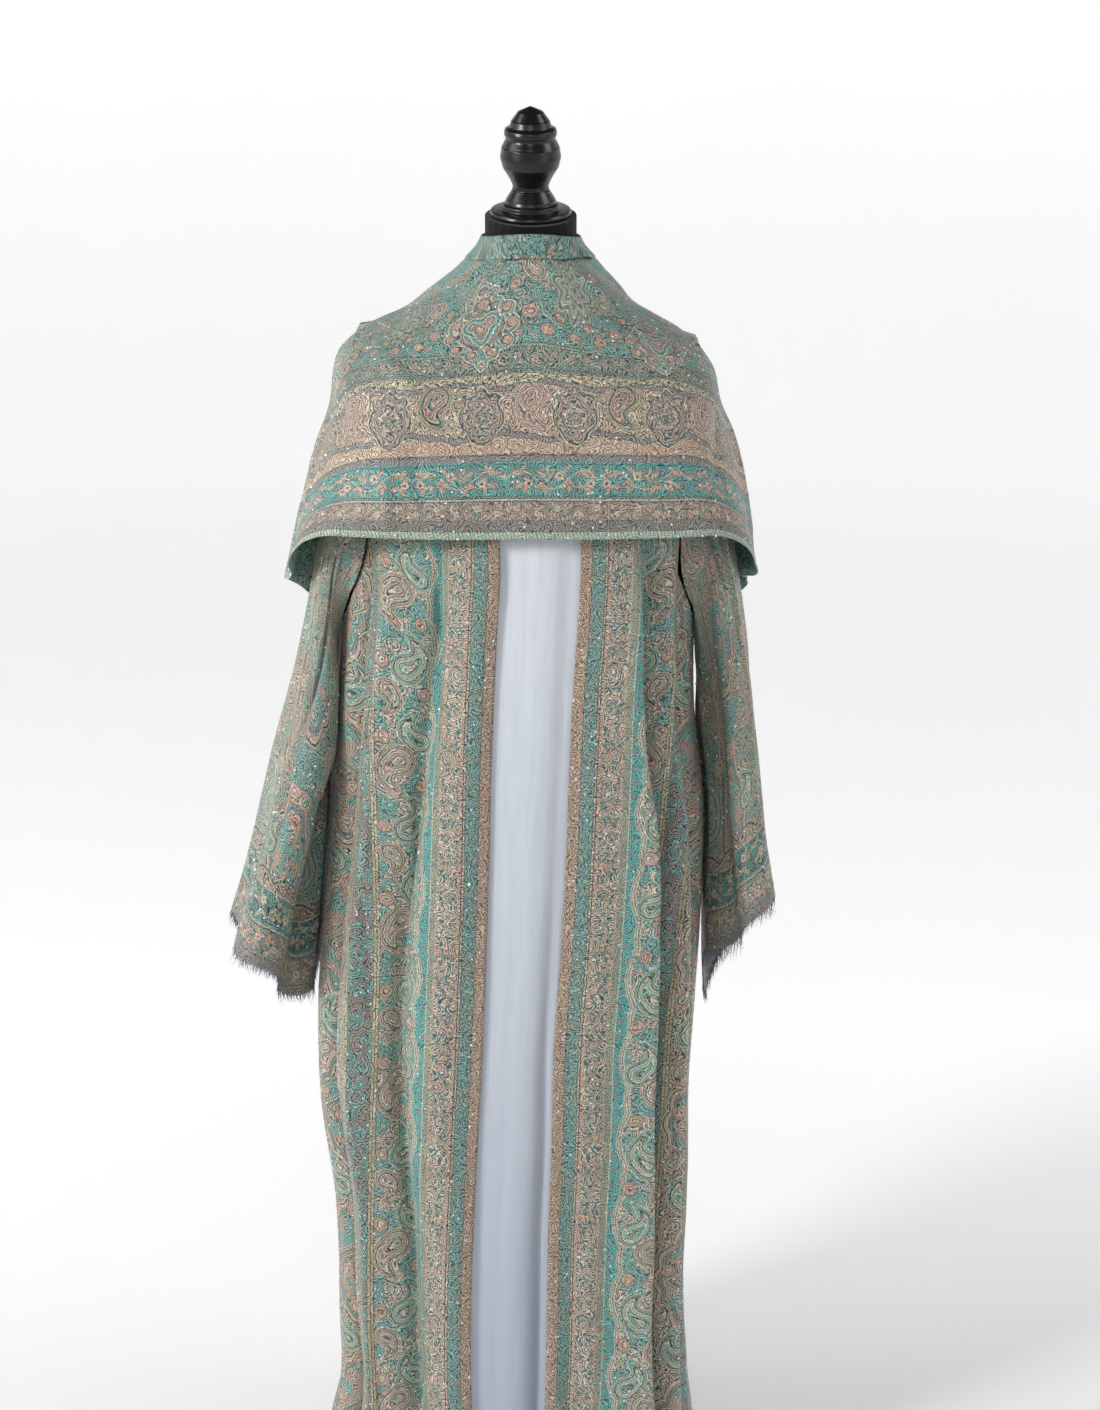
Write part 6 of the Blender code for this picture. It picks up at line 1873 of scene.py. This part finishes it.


# %% [markdown]
# Each piece stands for a node of the model, whose own solid is hidden, and the size and area of
# the cloth it was cut from are printed.

# %% Put the cloth in the model's place and state its cut
grids = {name: cloth[0] for name, cloth in body.items()}
grids.update({"sleeve_" + name: cloth[0] for name, cloth in sleeves.items()})
grids["shoulder_wrap"], grids["inner_panel"] = wrapped[0], panel[0]
for name, piece in pieces.items():
    grid, tube = grids[name], name.startswith("sleeve")
    wide = float(run_across(np.concatenate([grid, grid[:, :1]], 1) if tube else grid)[:, -1].max())
    long = float(run_down(grid)[-1].max())
    area = min(area_of(grid, tube), wide * long)
    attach(piece, "root")
    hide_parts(name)
    "plain_crepe" if name == "inner_panel" else "jacquard"
    trims = [fringes[name]] if name in fringes else []
    print(f"{name}: cut {wide:.3f} by {long:.3f} m, {area:.3f} square metres")
for name, piece in fringes.items():
    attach(piece, "root")
    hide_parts(name.replace("sleeve", "cuff_fringe"))
for piece in all_stones:
    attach(piece, "root")
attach(finial, "root")
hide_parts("finial")

# %% [markdown]
# The stage is a wide round floor that curves up into a wall, so the piece can be seen from every
# side. The paper glows softly behind the piece, as a lit studio sweep does. The camera stands a
# little above the shoulders and looks down slightly, as the photograph's did.

# %% Backdrop, camera and light


def backdrop():
    """A profile turned about the middle: a flat floor, a quarter circle and a wall."""
    turn = np.linspace(0, math.pi / 2, 9)
    bend, wide, tall = 1.5, 8, 5
    radius = np.concatenate([[0], wide - bend + bend * np.sin(turn), [wide]])
    z = np.concatenate([[0], bend - bend * np.cos(turn), [tall]]) - 0.0005
    around = np.linspace(0, 2 * math.pi, 49)[:, None]
    grid = np.stack(np.broadcast_arrays(radius * np.cos(around), radius * np.sin(around), z[None]), -1)
    index = np.arange(grid.size // 3).reshape(grid.shape[:2])
    faces = np.stack([index[:-1, :-1], index[:-1, 1:], index[1:, 1:], index[1:, :-1]], -1).reshape(-1, 4)
    sweep = new_piece("backdrop", grid, faces[:, ::-1].tolist())
    recipe = Recipe("pale paper")
    place = recipe.space()
    cloud = recipe.cloud(place, 0.8, 1)
    behind = recipe.node("ShaderNodeSeparateXYZ", {}, {"Vector": place}, 1)
    share = recipe.node("ShaderNodeMapRange", {}, {"Value": behind, "From Min": -0.6, "From Max": 1.4})
    # painted light: the paper glows by its own emission, faint in front of the piece and stronger behind it,
    # though it is no lamp
    painted_glow = recipe.mix(share, (0.12, 0.12, 0.12, 1), (0.42, 0.42, 0.42, 1))
    recipe.put(recipe.shader.inputs["Emission Color"], painted_glow)
    recipe.put(recipe.shader.inputs["Emission Strength"], 1)
    colour = recipe.mix(cloud, dye(236, 236, 236), dye(242, 242, 242))
    sweep.data.materials.append(recipe.finish(colour, 0.9, None, 0))


def lamp(name, place, aim, size, power):
    light = bpy.data.lights.new(name, "AREA")
    light.shape, light.size, light.energy = "SQUARE", size, power
    made = bpy.data.objects.new(name, light)
    made.location, made.visible_camera = place, False
    way = np.array(aim) - np.array(place)
    made.rotation_euler = (math.atan2(math.hypot(way[0], way[1]), -way[2]), 0, math.atan2(-way[0], way[1]))
    bpy.context.scene.collection.objects.link(made)


backdrop()
lamp("key", (-3, -2.1, 2.7), (0, 0, 1), 0.8, 100)
lamp("front", (-0.1, -3.9, 3.3), (0, 0, 1), 1.2, 15)
lamp("fill", (3, -2.4, 1.6), (0, 0, 0.9), 2.4, 12)
lamp("rim_left", (-2.6, -0.2, 3.4), (-0.8, 2.4, 1.2), 1.6, 28)
lamp("rim_right", (2.6, -0.2, 3.4), (0.8, 2.4, 1.2), 1.6, 33)
world = bpy.data.worlds.new("studio")
world.use_nodes = True
world.node_tree.nodes["Background"].inputs["Color"].default_value = (1, 1, 1, 1)
world.node_tree.nodes["Background"].inputs["Strength"].default_value = 0.08
bpy.context.scene.world = world
bpy.context.scene.view_settings.view_transform = "Standard"
eye = bpy.data.cameras.new("camera")
eye.lens, eye.sensor_width, eye.sensor_fit = 70.47, 36, "AUTO"
camera = bpy.data.objects.new("camera", eye)
camera.location = (0.0224, -3.24, 2.02)
camera.rotation_euler = (math.radians(90 - 16.9), 0, 0)
bpy.context.scene.collection.objects.link(camera)
bpy.context.scene.camera = camera
